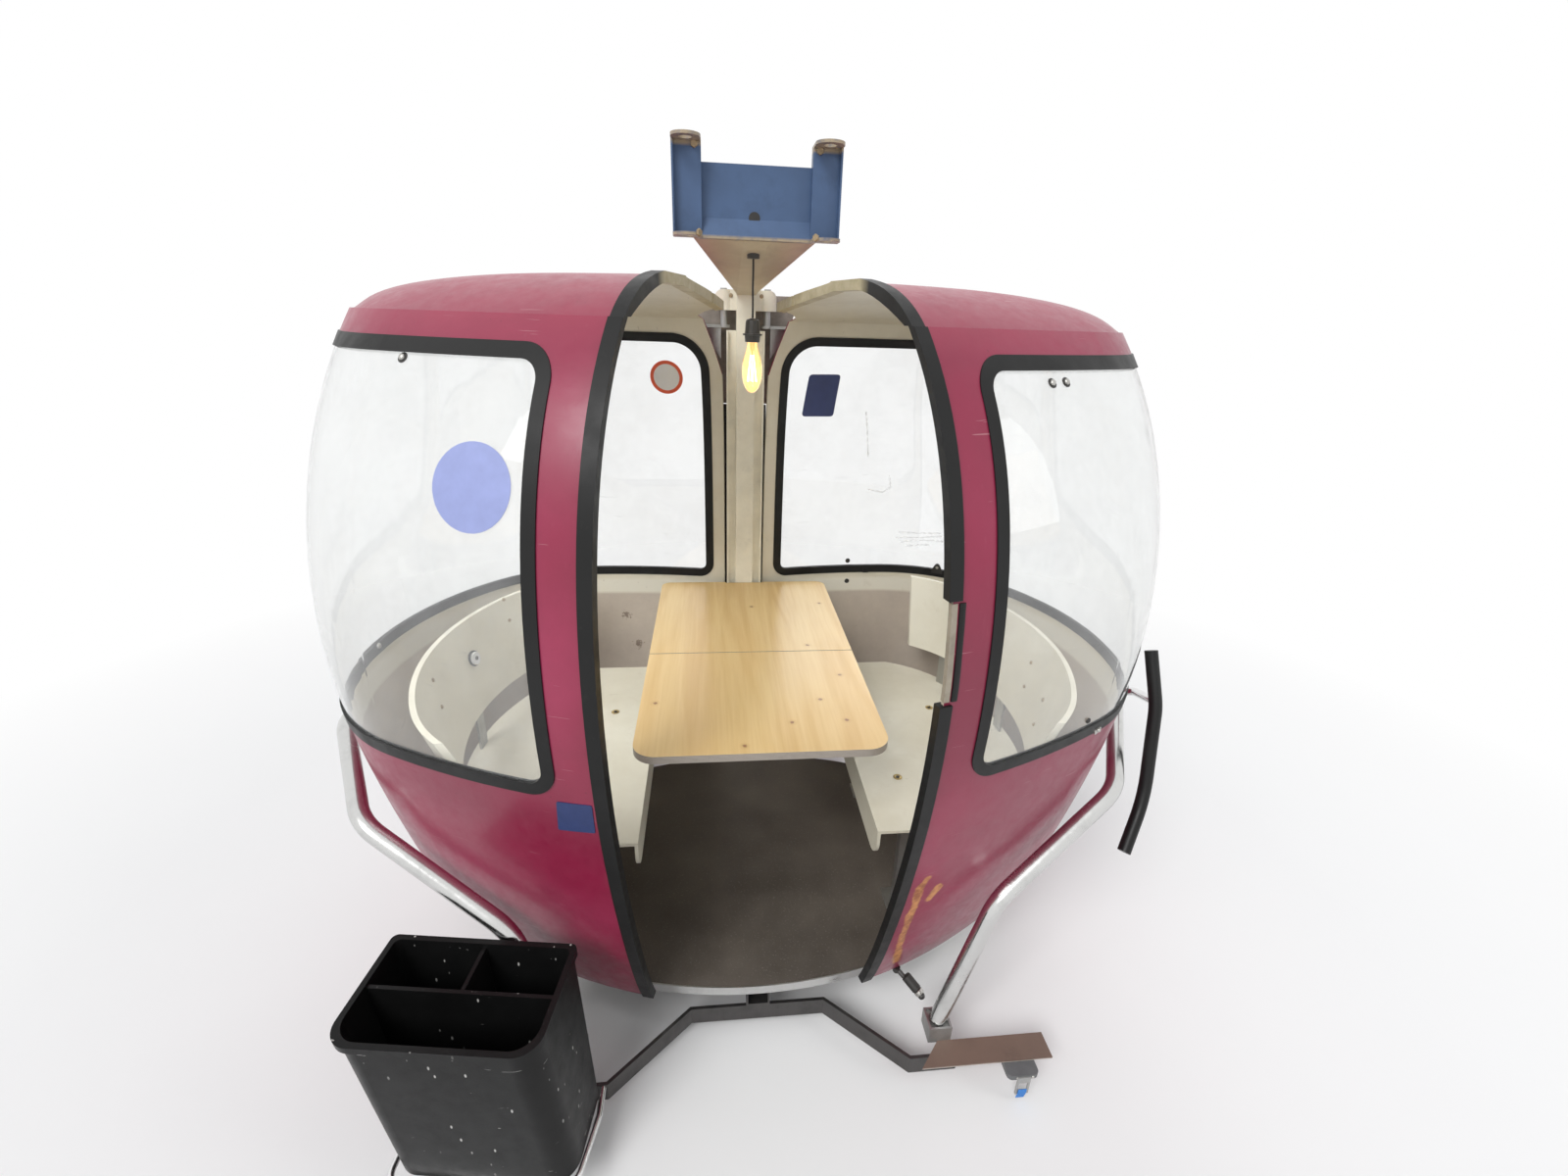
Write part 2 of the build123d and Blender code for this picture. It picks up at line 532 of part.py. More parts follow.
def bin_slab(z0, z1, x0, x1, y0, y1):
    """Divider that leans with the bin. Its edges are in mm off the fractions x 0 and BIN_DIVIDE."""
    faces = []
    for z in (z0, z1):
        place, long, deep = bin_size(z)
        mid = deep * (2 * BIN_DIVIDE - 1)
        corners = [(x0, mid + y0), (x1, mid + y0), (x1, mid + y1), (x0, mid + y1)]
        faces.append(place * Face(Wire.make_polygon([(x, y, 0) for x, y in corners])))
    return loft(faces, ruled=True)


def bin_block(grow, z0, z1):
    return Solid(loft([bin_face(z0, grow), bin_face(z1, grow)], ruled=True).wrapped)


ski_bin = bin_block(0, base_z, BIN_TOP)
pocket = bin_block(-BIN_WALL, base_z + BIN_WALL, BIN_TOP + 1)
dividers = bin_slab(base_z, BIN_TOP - 6, -300, 300, -4, 4)
dividers = dividers + bin_slab(base_z, BIN_TOP - 10, -4, 4, 0, 200)
ski_bin = ski_bin - (pocket - dividers)
ski_bin = ski_bin + (bin_block(6, BIN_TOP - 14, BIN_TOP) - bin_block(-1, BIN_TOP - 14, BIN_TOP))
save(one(ski_bin), "ski_bin")

# Guard rod: from the arm end round the base of the bin and back to the plate
rod_z = BAR_TOP - ROD_R
guard = rod([(x, y, rod_z) for x, y in GUARD_POINTS], ROD_R, GUARD_BEND)
save(one(guard), "bin_guard_rod")

# Strap block under the right plate, with its buckle
strap_y0, strap_y1 = PLATE_Y + STRAP_Y[0], PLATE_Y + STRAP_Y[1]
strap_block = box(STRAP_X - STRAP_HALF, STRAP_X + STRAP_HALF, strap_y0, strap_y1, BAR_TOP - STRAP_TALL, BAR_TOP)
strap_block = fillet(strap_block.edges().filter_by(Axis.Z), STRAP_R)
save(one(strap_block), "strap_block")
slot_half = BUCKLE_HALF - BUCKLE_RIM
buckle = box(STRAP_X - BUCKLE_HALF, STRAP_X + BUCKLE_HALF, strap_y0 - BUCKLE_THICK, strap_y0,
             BAR_TOP + BUCKLE_Z[0], BAR_TOP + BUCKLE_Z[1])
buckle = buckle - box(STRAP_X - slot_half, STRAP_X + slot_half, strap_y0 - BUCKLE_THICK - 5, strap_y0 + 5,
                      BAR_TOP + BUCKLE_Z[0] + 2 * BUCKLE_RIM, BAR_TOP + BUCKLE_Z[1] - 18)
save(one(buckle), "strap_buckle")

# Seats: a pan that follows the wall, with a turned-down inner edge
seat_row = row_at(SEAT_TOP)
seat_zone = box(-1000, -SEAT_INNER, SEAT_FRONT, SEAT_REAR, 0, 1000)
pan = Solid.extrude(oval(seat_row, WALL + SEAT_GAP, SEAT_TOP - SEAT_THICK), Vector(0, 0, SEAT_THICK)) & seat_zone
skirt = box(-SEAT_INNER - SEAT_THICK, -SEAT_INNER, SEAT_FRONT, SEAT_REAR, SEAT_TOP - SEAT_SKIRT, SEAT_TOP)
skirt = fillet(skirt.edges().filter_by(Axis.X).sort_by(Axis.Z)[0:2], SEAT_SKIRT_R)
seat = pan + skirt
save(one(seat), "seat_left")
save(one(mirrored(seat)), "seat_right")

legs = []
for y in LEG_Y:
    half_leg, half_foot = LEG_SIZE / 2, LEG_FOOT / 2
    leg = box(-LEG_X - half_leg, -LEG_X + half_leg, y - half_leg, y + half_leg, 0, SEAT_TOP - SEAT_THICK)
    leg_foot = box(-LEG_X - half_foot, -LEG_X + half_foot, y - half_foot, y + half_foot, 0, LEG_FOOT_THICK)
    legs.append(one(leg + leg_foot))
save(Compound(legs), "seat_legs_left")
save(Compound([mirrored(leg).solids()[0] for leg in legs]), "seat_legs_right")

# Backrests: a leaning band that follows the wall, on three stays
top_row, low_row = row_at(BACK_TOP), row_at(BACK_BOTTOM)


def band_block(inset):
    return Solid(loft([oval(low_row, WALL + BACK_GAP_LOW + inset, BACK_BOTTOM),
                       oval(top_row, WALL + BACK_GAP_TOP + inset, BACK_TOP)], ruled=True).wrapped)


back_zone = box(-1000, -BACK_INNER, BACK_FRONT, 100, 0, 1000)
back = (band_block(0) - band_block(BACK_THICK)) & back_zone
save(one(back), "backrest_left")
save(one(mirrored(back)), "backrest_right")
stay_out, stay_in = WALL + BACK_GAP_LOW + 3, WALL + BACK_GAP_LOW + BACK_THICK - 3
stay_zone = (Solid.extrude(oval(low_row, stay_out, SEAT_TOP), Vector(0, 0, BACK_BOTTOM - SEAT_TOP))
             - Solid.extrude(oval(low_row, stay_in, SEAT_TOP), Vector(0, 0, BACK_BOTTOM - SEAT_TOP)))
stays = []
for y in STAY_Y:
    stays.append(one(stay_zone & box(-1000, -BACK_INNER, y - STAY_WIDE / 2, y + STAY_WIDE / 2, 0, 1000)))
stays = Compound(stays)
save(stays, "backrest_stays_left")
save(Compound([mirrored(s).solids()[0] for s in stays.solids()]), "backrest_stays_right")

# Table: two leaves on a frame that reaches back to the post
for y0, y1, name in ((TABLE_SEAM + 2, TABLE_REAR, "table_rear"), (TABLE_FRONT, TABLE_SEAM - 1, "table_front")):
    leaf = box(-TABLE_HALF, TABLE_HALF, y0, y1, TABLE_TOP - TABLE_THICK, TABLE_TOP)
    if name == "table_front":
        leaf = fillet(leaf.edges().filter_by(Axis.Z).sort_by(Axis.Y)[0:2], TABLE_R)
    else:
        leaf = fillet(leaf.edges().filter_by(Axis.Z).sort_by(Axis.Y)[-2:], TABLE_REAR_R)
        leaf = leaf - box(-TABLE_NOTCH_HALF, TABLE_NOTCH_HALF, TABLE_NOTCH_Y, 50, 0, 1000)
    save(one(leaf), name)
frame_top = TABLE_TOP - TABLE_THICK
frame_low, rail_front, rail_rear = frame_top - RAIL, TABLE_FRONT + RAIL_SHORT, -2
table_frame = None
for side in (-1, 1):
    rail = box(side * (RAIL_X - RAIL), side * RAIL_X, rail_front, rail_rear, frame_low, frame_top)
    table_frame = rail if table_frame is None else table_frame + rail
for y in (rail_front, TABLE_SEAM, rail_rear - RAIL):
    table_frame = table_frame + box(-RAIL_X, RAIL_X, y, y + RAIL, frame_low, frame_top)
brace_face = Face(Wire.make_polygon([
    (-BRACE_HALF, 0, BRACE_LOW), (-BRACE_HALF, 0, BRACE_HIGH),
    (-BRACE_HALF, BRACE_REACH[0], frame_low), (-BRACE_HALF, BRACE_REACH[1], frame_low)]))
table_frame = table_frame + Solid.extrude(brace_face, Vector(2 * BRACE_HALF, 0, 0))
table_frame = table_frame + box(-BRACE_HALF, BRACE_HALF, BRACE_REACH[1], BRACE_REACH[0] + 30, frame_low, frame_top)
table_frame = table_frame + box(-POST_PLATE_HALF, POST_PLATE_HALF, -8, 0, POST_PLATE_LOW, frame_top)
save(one(table_frame), "table_frame")

# Pendant lamp, hung from a collar under the hanger arm
arm_low = ARM_TIP_Z[0] + (BRACKET_BOTTOM - ARM_TIP_Z[0]) * LAMP_Y / arm_end_y
gland_low = arm_low - GLAND_LIP - 4
gland = drill(LAMP_X, LAMP_Y, gland_low, arm_low + 8, GLAND_R) - hanger_arm
save(gland.solids().sort_by(Axis.Z)[0], "lamp_gland")
save(rod([(LAMP_X, LAMP_Y, HOLDER_TOP), (LAMP_X, LAMP_Y, gland_low)], CORD_R), "lamp_cord")
holder = drill(LAMP_X, LAMP_Y, HOLDER_TOP - HOLDER_TALL, HOLDER_TOP, HOLDER_R)
holder = chamfer(holder.edges().sort_by(Axis.Z)[-1], 7)
save(one(holder), "lamp_holder")
bulb_top = HOLDER_TOP - HOLDER_TALL
low, d = bulb_top - BULB_TALL, math.sqrt(0.5)
bulb_wire = Wire([
    Edge.make_line((0, 0, bulb_top), (13, 0, bulb_top)),
    Edge.make_line((13, 0, bulb_top), (14, 0, bulb_top - 12)),
    Edge.make_three_point_arc((14, 0, bulb_top - 12), (20.5, 0, bulb_top - 29), (BULB_R, 0, bulb_top - 50)),
    Edge.make_line((BULB_R, 0, bulb_top - 50), (BULB_R, 0, low + BULB_R)),
    Edge.make_three_point_arc((BULB_R, 0, low + BULB_R), (BULB_R * d, 0, low + BULB_R - BULB_R * d), (0, 0, low)),
    Edge.make_line((0, 0, low), (0, 0, bulb_top))])
bulb = Solid.revolve(Face(bulb_wire), 360, Axis.Z)
save(Pos(LAMP_X, LAMP_Y, 0) * bulb, "lamp_bulb")

# Ski rest: a curved bar outside the right bumper tube, on its bracket
rest = rod(REST_POINTS, REST_R, REST_BEND)
save(one(rest), "ski_rest_bar")
rest_bracket = rod(REST_ARM_POINTS, REST_ARM_R, 30)
rest_bracket = rest_bracket - rest - tube
rest_bracket = rest_bracket.solids().sort_by(SortBy.VOLUME)[-1]
save(rest_bracket, "ski_rest_bracket")
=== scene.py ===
import bpy
import bmesh
import math
from mathutils import Matrix, Vector


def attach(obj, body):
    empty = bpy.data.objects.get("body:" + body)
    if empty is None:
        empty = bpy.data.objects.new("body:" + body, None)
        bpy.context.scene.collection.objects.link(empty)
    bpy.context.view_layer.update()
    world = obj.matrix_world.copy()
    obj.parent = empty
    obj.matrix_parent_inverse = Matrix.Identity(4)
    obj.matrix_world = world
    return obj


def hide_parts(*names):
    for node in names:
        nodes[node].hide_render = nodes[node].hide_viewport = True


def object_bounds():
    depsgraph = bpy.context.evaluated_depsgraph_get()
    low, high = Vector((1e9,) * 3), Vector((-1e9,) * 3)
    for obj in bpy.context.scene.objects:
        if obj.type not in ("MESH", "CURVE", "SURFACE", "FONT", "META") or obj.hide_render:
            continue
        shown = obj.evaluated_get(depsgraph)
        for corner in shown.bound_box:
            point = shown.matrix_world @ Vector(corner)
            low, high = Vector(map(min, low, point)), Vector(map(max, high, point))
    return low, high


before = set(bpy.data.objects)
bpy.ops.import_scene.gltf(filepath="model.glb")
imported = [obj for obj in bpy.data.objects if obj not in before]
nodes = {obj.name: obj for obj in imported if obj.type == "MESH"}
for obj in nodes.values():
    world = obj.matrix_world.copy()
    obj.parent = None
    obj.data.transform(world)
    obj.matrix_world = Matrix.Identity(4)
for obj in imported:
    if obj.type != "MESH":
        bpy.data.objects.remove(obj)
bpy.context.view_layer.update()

# Points are given in cabin coordinates: metres, with the floor's top at z 0 and the post's face at y 0.
# The part's own origin is at the hanger lugs, SHIFT away.
SHIFT = Vector((0.0, 0.490, -1.886))
HINGE_X, HINGE_Y = 0.065, 0.030
OPEN = math.radians(14.3)
SIDE_NAME = {-1: "left", 1: "right"}


def row_point(p):
    return Vector(p) + SHIFT


# Camera, as solved for the photograph
F_PX, PITCH, YAW, ROLL = 672.7, math.radians(22.11), math.radians(6.49), math.radians(-1.895)
SENSOR_MM, PHOTO_WIDTH_PX = 36.0, 1600.0
EYE = row_point((-0.100, -2.105, 1.538))
ahead = Vector((math.sin(YAW) * math.cos(PITCH), math.cos(YAW) * math.cos(PITCH), -math.sin(PITCH)))
level = Vector((math.cos(YAW), -math.sin(YAW), 0.0))
down = ahead.cross(level)
cam_right = math.cos(ROLL) * level + math.sin(ROLL) * down
cam_down = -math.sin(ROLL) * level + math.cos(ROLL) * down
cam_data = bpy.data.cameras.new("camera")
cam = bpy.data.objects.new("camera", cam_data)
bpy.context.scene.collection.objects.link(cam)
cam_data.sensor_fit = "HORIZONTAL"
cam_data.sensor_width = SENSOR_MM
cam_data.lens = SENSOR_MM * F_PX / PHOTO_WIDTH_PX
cam_data.clip_start, cam_data.clip_end = 0.02, 100.0
cam.matrix_world = Matrix.Translation(EYE) @ Matrix((cam_right, -cam_down, -ahead)).transposed().to_4x4()
bpy.context.scene.camera = cam

# The lamp's cord hangs from the collar under the hanger arm to the lamp holder
CORD_D = 0.005
CORD_ROUTE = [(0.0, -0.345, 1.672), (0.0004, -0.3452, 1.645), (-0.0005, -0.3449, 1.606), (0.0004, -0.3451, 1.566),
              (0.0, -0.345, 1.540)]
curve = bpy.data.curves.new("lamp_flex", "CURVE")
curve.dimensions = "3D"
curve.bevel_depth = CORD_D / 2
curve.bevel_resolution = 3
curve.resolution_u = 12
curve.use_fill_caps = True
spline = curve.splines.new("NURBS")
spline.points.add(len(CORD_ROUTE) - 1)
for knot, p in zip(spline.points, CORD_ROUTE):
    knot.co = (*row_point(p), 1.0)
spline.order_u = 3
spline.use_endpoint_u = True
lamp_flex = bpy.data.objects.new("lamp_flex", curve)
bpy.context.scene.collection.objects.link(lamp_flex)


# Materials
class Tree:
    """A short way to write a procedural material. An input takes a number, a colour or another node's output."""

    def __init__(self, name):
        self.mat = bpy.data.materials.new(name)
        self.mat.use_nodes = True
        self.nt = self.mat.node_tree
        self.nt.nodes.clear()
        self.out = self.node("OutputMaterial")
        self.bsdf = self.node("BsdfPrincipled")
        self.show(self.bsdf.outputs["BSDF"])
        self.coord = self.node("TexCoord").outputs["Object"]

    def put(self, value, socket):
        if isinstance(value, bpy.types.NodeSocket):
            self.nt.links.new(value, socket)
        elif isinstance(value, (tuple, list)) and len(value) == 3 and socket.type == "RGBA":
            socket.default_value = (*value, 1.0)
        else:
            socket.default_value = value

    def fill(self, n, inputs):
        for name, value in inputs.items():
            self.put(value, n.inputs[name.replace("_", " ")])

    def node(self, kind, **inputs):
        n = self.nt.nodes.new("ShaderNode" + kind)
        self.fill(n, inputs)
        return n

    def set(self, **inputs):
        self.fill(self.bsdf, inputs)

    def show(self, shader):
        self.put(shader, self.out.inputs["Surface"])

    def blend(self, fac, a, b):
        """Mixes two shaders."""
        n = self.node("MixShader", Fac=fac)
        self.put(a, n.inputs[1])
        self.put(b, n.inputs[2])
        return n.outputs["Shader"]

    def mapped(self, scale, turn=(0, 0, 0)):
        return self.node("Mapping", Vector=self.coord, Scale=scale, Rotation=turn).outputs["Vector"]

    def noise(self, scale, detail=4.0, rough=0.55, distort=0.0, vector=None):
        return self.node("TexNoise", Vector=self.coord if vector is None else vector, Scale=scale, Detail=detail,
                         Roughness=rough, Distortion=distort).outputs["Fac"]

    def cells(self, scale, vector):
        return self.node("TexVoronoi", Vector=vector, Scale=scale).outputs["Distance"]

    def wave(self, scale, axis, distort=0.0, detail_scale=1.0):
        n = self.node("TexWave", Vector=self.coord, Scale=scale, Distortion=distort, Detail=2.0,
                      Detail_Scale=detail_scale)
        n.bands_direction = axis
        return n.outputs["Fac"]

    def ramp(self, value, stops):
        """Each stop is a place from 0 to 1 with a colour or a grey value."""
        n = self.node("ValToRGB", Fac=value)
        elements = n.color_ramp.elements
        while len(elements) < len(stops):
            elements.new(0.5)
        for e, (place, colour) in zip(elements, stops):
            e.position = place
            e.color = (*colour, 1.0) if isinstance(colour, (tuple, list)) else (colour, colour, colour, 1.0)
        return n.outputs["Color"]

    def mix(self, fac, a, b):
        n = self.node("Mix")
        n.data_type = "RGBA"
        n.clamp_factor = True
        self.put(fac, n.inputs["Factor"])
        self.put(a, n.inputs[6])
        self.put(b, n.inputs[7])
        return n.outputs[2]

    def math(self, op, a, b, clamp=False):
        n = self.node("Math")
        n.operation = op
        n.use_clamp = clamp
        self.put(a, n.inputs[0])
        self.put(b, n.inputs[1])
        return n.outputs[0]

    def chain(self, op, values):
        total = values[0]
        for v in values[1:]:
            total = self.math(op, total, v)
        return total

    def times(self, *values):
        return self.chain("MULTIPLY", values)

    def span(self, value, low, high, out_low=0.0, out_high=1.0):
        n = self.node("MapRange", Value=value, From_Min=low, From_Max=high, To_Min=out_low, To_Max=out_high)
        n.clamp = True
        return n.outputs["Result"]

    def along(self, axis, vector=None):
        return self.node("SeparateXYZ", Vector=self.coord if vector is None else vector).outputs[axis]

    def vector(self, op, a, b, scale=None):
        n = self.node("VectorMath")
        n.operation = op
        self.put(a, n.inputs[0])
        self.put(b, n.inputs[1])
        if scale is not None:
            self.put(scale, n.inputs["Scale"])
        return n.outputs["Value" if op in ("DOT_PRODUCT", "DISTANCE") else "Vector"]

    def normal_local(self):
        n = self.node("VectorTransform", Vector=self.node("NewGeometry").outputs["Normal"])
        n.vector_type = "NORMAL"
        n.convert_from, n.convert_to = "WORLD", "OBJECT"
        return n.outputs["Vector"]

    def near_line(self, points):
        """How far the surface is from a run of straight pieces, seen along y."""
        flat = self.vector("MULTIPLY", self.coord, (1.0, 0.0, 1.0))
        gaps = []
        for a, b in zip(points, points[1:]):
            a, b = row_point(a), row_point(b)
            a.y = b.y = 0.0
            run = b - a
            rel = self.vector("SUBTRACT", flat, tuple(a))
            part = self.math("MULTIPLY", self.vector("DOT_PRODUCT", rel, tuple(run)), 1.0 / run.length_squared, True)
            gaps.append(self.vector("DISTANCE", rel, self.vector("SCALE", tuple(run), (0, 0, 0), part)))
        return self.chain("MINIMUM", gaps)

    def near_points(self, points):
        return self.chain("MINIMUM", [self.vector("DISTANCE", self.coord, tuple(row_point(p))) for p in points])

    def bump(self, height, strength, distance, normal=None):
        n = self.node("Bump", Strength=strength, Distance=distance, Height=height)
        if normal is not None:
            self.put(normal, n.inputs["Normal"])
        return n.outputs["Normal"]


MIDDLE_Y, MIDDLE_Z = -0.55, 0.85


def half_centre(side):
    """Where the middle of the closed cabin comes to lie when this half is parked open."""
    a = side * OPEN
    x, y = -side * HINGE_X, MIDDLE_Y - HINGE_Y
    return row_point((side * HINGE_X + x * math.cos(a) - y * math.sin(a),
                      HINGE_Y + x * math.sin(a) + y * math.cos(a), MIDDLE_Z))


RUST_RUN = [(0.3534, -1.0607, 0.4271), (0.3411, -1.0594, 0.4042), (0.3385, -1.0435, 0.3295),
            (0.3342, -1.0243, 0.2477), (0.3321, -0.9975, 0.1525), (0.3426, -0.9641, 0.0598)]
RUST_FORK = [(0.3905, -1.0388, 0.3789), (0.3761, -1.0347, 0.3406)]
WALL_MARKS = [(-0.412, 0.065, 0.555), (-0.374, 0.060, 0.438)]
# Where a look starts and is full, in the part's own coordinates, which the materials read
ROOF_PAINTED_LIGHT_Z, GRIMY_Z = (-0.40, -0.27), (-1.60, -1.90)
WALL_TOP_Z, WALL_FOOT_Z = (-1.236, -1.252), (-1.87, -1.80)
BELT_FOOT_Z, BELT_TOP_Z = (-1.252, -1.240), (-1.190, -1.202)
FRONT_FACE_Y, REAR_PANE_Y = (-0.30, -0.34), (0.28, 0.30)
ROOF_RUN_Y, ROOF_RUN_Z, ROOF_RUN_TILT = (-0.255, -0.215), (-0.40, -0.36), (0.42, 0.30)
RUBBER_TONE = 0.0095


def make_shell(side):
    """Raspberry gelcoat outside, paler on the roof as painted light, cream inside, scuffed below the belt."""
    t = Tree("shell_" + SIDE_NAME[side])
    from_middle = t.vector("SUBTRACT", t.coord, tuple(half_centre(side)))
    outward = t.span(t.vector("DOT_PRODUCT", t.normal_local(), from_middle), -0.02, 0.02)
    z = t.along("Z")
    big, fine = t.noise(2.2, 3.0, 0.5), t.noise(34.0, 5.0, 0.65)
    red = t.ramp(big, [(0.32, (0.205, 0.010, 0.040)), (0.52, (0.262, 0.014, 0.053)), (0.72, (0.325, 0.024, 0.078))])
    # Higher up, on the roof, the red turns paler: painted light falling on the roof skin.
    red = t.mix(t.span(z, *ROOF_PAINTED_LIGHT_Z), red, (0.37, 0.045, 0.085))
    cloud = t.ramp(t.noise(9.0, 6.0, 0.7), [(0.45, 0.0), (0.75, 0.30)])
    red = t.mix(cloud, red, (0.165, 0.008, 0.032))
    streak = t.noise(1.0, 6.0, 0.7, vector=t.mapped((55, 55, 3)))
    red = t.mix(t.ramp(streak, [(0.62, 0.0), (0.82, 0.16)]), red, (0.42, 0.13, 0.17))
    scratch = t.noise(1.0, 2.0, 0.4, 0.6, vector=t.mapped((9, 9, 260), (0.4, 0.5, 0.2)))
    red = t.mix(t.ramp(scratch, [(0.745, 0.0), (0.76, 0.45)]), red, (0.50, 0.26, 0.28))
    speck = t.ramp(t.noise(120.0, 3.0, 0.6), [(0.70, 0.0), (0.74, 0.5)])
    red = t.mix(speck, red, (0.085, 0.010, 0.022))
    grime = t.ramp(t.noise(12.0, 6.0, 0.7), [(0.40, 0.0), (0.70, 0.75)])
    red = t.mix(t.times(t.span(z, *GRIMY_Z), grime), red, (0.055, 0.018, 0.020))
    if side == 1:
        ragged = t.span(t.noise(20.0, 5.0, 0.65), 0.3, 0.7, -0.005, 0.006)
        run = t.math("MINIMUM", t.near_line(RUST_RUN), t.near_line(RUST_FORK))
        worn = t.times(t.span(t.math("ADD", run, ragged), 0.008, 0.013, 0.95, 0.0),
                       t.span(t.along("Y"), *FRONT_FACE_Y))
        rust = t.ramp(t.noise(45.0, 5.0, 0.7), [(0.38, (0.300, 0.090, 0.022)), (0.60, (0.62, 0.27, 0.08))])
        red = t.mix(worn, red, rust)
    cream = t.ramp(t.noise(3.0, 5.0, 0.6), [(0.30, (0.56, 0.51, 0.395)), (0.60, (0.685, 0.635, 0.515))])
    below = t.times(t.span(z, *WALL_TOP_Z), t.span(z, *WALL_FOOT_Z), 0.8)
    scuffed = t.ramp(t.noise(6.0, 8.0, 0.72), [(0.35, (0.52, 0.44, 0.375)), (0.68, (0.395, 0.325, 0.280))])
    cream = t.mix(below, cream, scuffed)
    cream = t.mix(t.times(t.span(z, *BELT_FOOT_Z), t.span(z, *BELT_TOP_Z)), cream, (0.70, 0.66, 0.56))
    cream = t.mix(t.ramp(t.noise(15.0, 8.0, 0.75), [(0.58, 0.0), (0.80, 0.35)]), cream, (0.40, 0.33, 0.23))
    marks = t.noise(1.0, 3.0, 0.5, 0.5, vector=t.mapped((120, 14, 30), (0.7, 0.1, 0.3)))
    cream = t.mix(t.ramp(marks, [(0.72, 0.0), (0.75, 0.45)]), cream, (0.24, 0.20, 0.165))
    if side == -1:
        blot = t.math("ADD", t.near_points(WALL_MARKS), t.span(t.noise(90.0, 5.0, 0.7), 0.3, 0.7, -0.016, 0.016))
        cream = t.mix(t.span(blot, 0.008, 0.014, 0.75, 0.0), cream, (0.13, 0.085, 0.060))
    t.set(Base_Color=t.mix(outward, cream, red),
          Roughness=t.math("ADD", t.span(fine, 0.3, 0.7, 0.26, 0.40), t.math("MULTIPLY", streak, 0.08)),
          Coat_Weight=0.2, Coat_Roughness=0.14,
          Normal=t.bump(t.noise(260.0, 2.0, 0.5), 0.10, 0.0006, t.bump(big, 0.35, 0.012)))
    return t.mat


def make_rubber(name, roof_run=False):
    """Black extruded rubber. Along the roof, its faces that do not face up carry a yellowish band of painted lamp
    light, where the shell's cream edge shows below it.
    """
    t = Tree(name)
    dust = t.ramp(t.noise(30.0, 6.0, 0.7), [(0.60, 0.0), (0.85, 0.30)])
    base = t.ramp(t.noise(5.0, 3.0, 0.5), [(0.3, RUBBER_TONE * 0.8), (0.7, RUBBER_TONE * 1.4)])
    base = t.mix(dust, base, (0.050, 0.046, 0.042))
    if roof_run:
        tilt = t.along("Z", t.normal_local())
        lip = t.times(t.span(t.along("Y"), *ROOF_RUN_Y), t.span(t.along("Z"), *ROOF_RUN_Z),
                      t.span(tilt, *ROOF_RUN_TILT))
        # A yellowish band on the seal's sideways faces along the roof, near the lamp: painted lamp light.
        lamp_lit_cream = t.ramp(t.noise(24.0, 6.0, 0.7), [(0.35, (0.515, 0.450, 0.300)), (0.65, (0.385, 0.320, 0.185))])
        base = t.mix(lip, base, lamp_lit_cream)
    t.set(Base_Color=base, Roughness=t.span(t.noise(22.0, 4.0, 0.6), 0.3, 0.7, 0.34, 0.50), Specular_IOR_Level=0.26,
          Normal=t.bump(t.noise(420.0, 2.0, 0.5), 0.25, 0.0004))
    return t.mat


# Scratches in the rear of the right window
SCRATCH_RUNS = [[(0.549, 0.068, 0.858), (0.610, 0.055, 0.858), (0.684, 0.025, 0.866)],
                [(0.541, 0.069, 0.837), (0.618, 0.055, 0.842), (0.689, 0.023, 0.856)],
                [(0.561, 0.066, 0.822), (0.630, 0.050, 0.834), (0.695, 0.018, 0.838)],
                [(0.582, 0.062, 0.809), (0.653, 0.039, 0.820)],
                [(0.428, 0.070, 1.009), (0.478, 0.070, 1.000), (0.504, 0.069, 1.019), (0.496, 0.069, 1.057)],
                [(0.396, 0.056, 1.268), (0.408, 0.063, 1.195), (0.416, 0.066, 1.123)]]


def make_acrylic(side):
    """Clear sheet with haze, hairlines and scratches, which lets shadow rays through."""
    t = Tree("acrylic_" + SIDE_NAME[side])
    hair = t.noise(1.0, 3.0, 0.5, 0.8, vector=t.mapped((14, 14, 160), (0.3, 0.9, 0.2)))
    t.set(Base_Color=(0.965, 0.972, 0.970), Transmission_Weight=1.0, IOR=1.49,
          Roughness=t.ramp(hair, [(0.70, 0.012), (0.78, 0.11)]))
    haze = t.math("ADD", t.span(t.noise(3.5, 6.0, 0.7), 0.40, 0.75, 0.035, 0.115),
                  t.ramp(hair, [(0.72, 0.0), (0.75, 0.10)]))
    if side == 1:
        lines = t.chain("MINIMUM", [t.near_line(run) for run in SCRATCH_RUNS])
        cut = t.math("ADD", lines, t.span(t.noise(80.0, 4.0, 0.6), 0.3, 0.7, -0.002, 0.002))
        haze = t.math("ADD", haze, t.times(t.span(cut, 0.0010, 0.0024, 0.38, 0.0), t.span(t.along("Y"), *REAR_PANE_Y)))
    veil = t.node("BsdfDiffuse", Color=(0.86, 0.87, 0.88)).outputs["BSDF"]
    clear = t.node("BsdfTransparent", Color=(0.93, 0.94, 0.94)).outputs["BSDF"]
    t.show(t.blend(t.node("LightPath").outputs["Is Shadow Ray"], t.blend(haze, t.bsdf.outputs["BSDF"], veil), clear))
    return t.mat


def make_steel(name, tone, rough, metallic=1.0, grime=0.35, streaks=(60, 60, 4)):
    t = Tree(name)
    brushed = t.noise(1.0, 5.0, 0.7, vector=t.mapped(streaks))
    base = t.mix(t.ramp(t.noise(16.0, 7.0, 0.7), [(0.48, 0.0), (0.75, grime)]),
                 tone, tuple(c * 0.28 + 0.01 for c in tone))
    t.set(Base_Color=base, Metallic=metallic,
          Roughness=t.math("ADD", t.span(brushed, 0.3, 0.7, *rough),
                           t.ramp(t.noise(7.0, 5.0, 0.6), [(0.45, 0.0), (0.8, 0.18)])),
          Normal=t.bump(brushed, 0.06, 0.0006))
    return t.mat


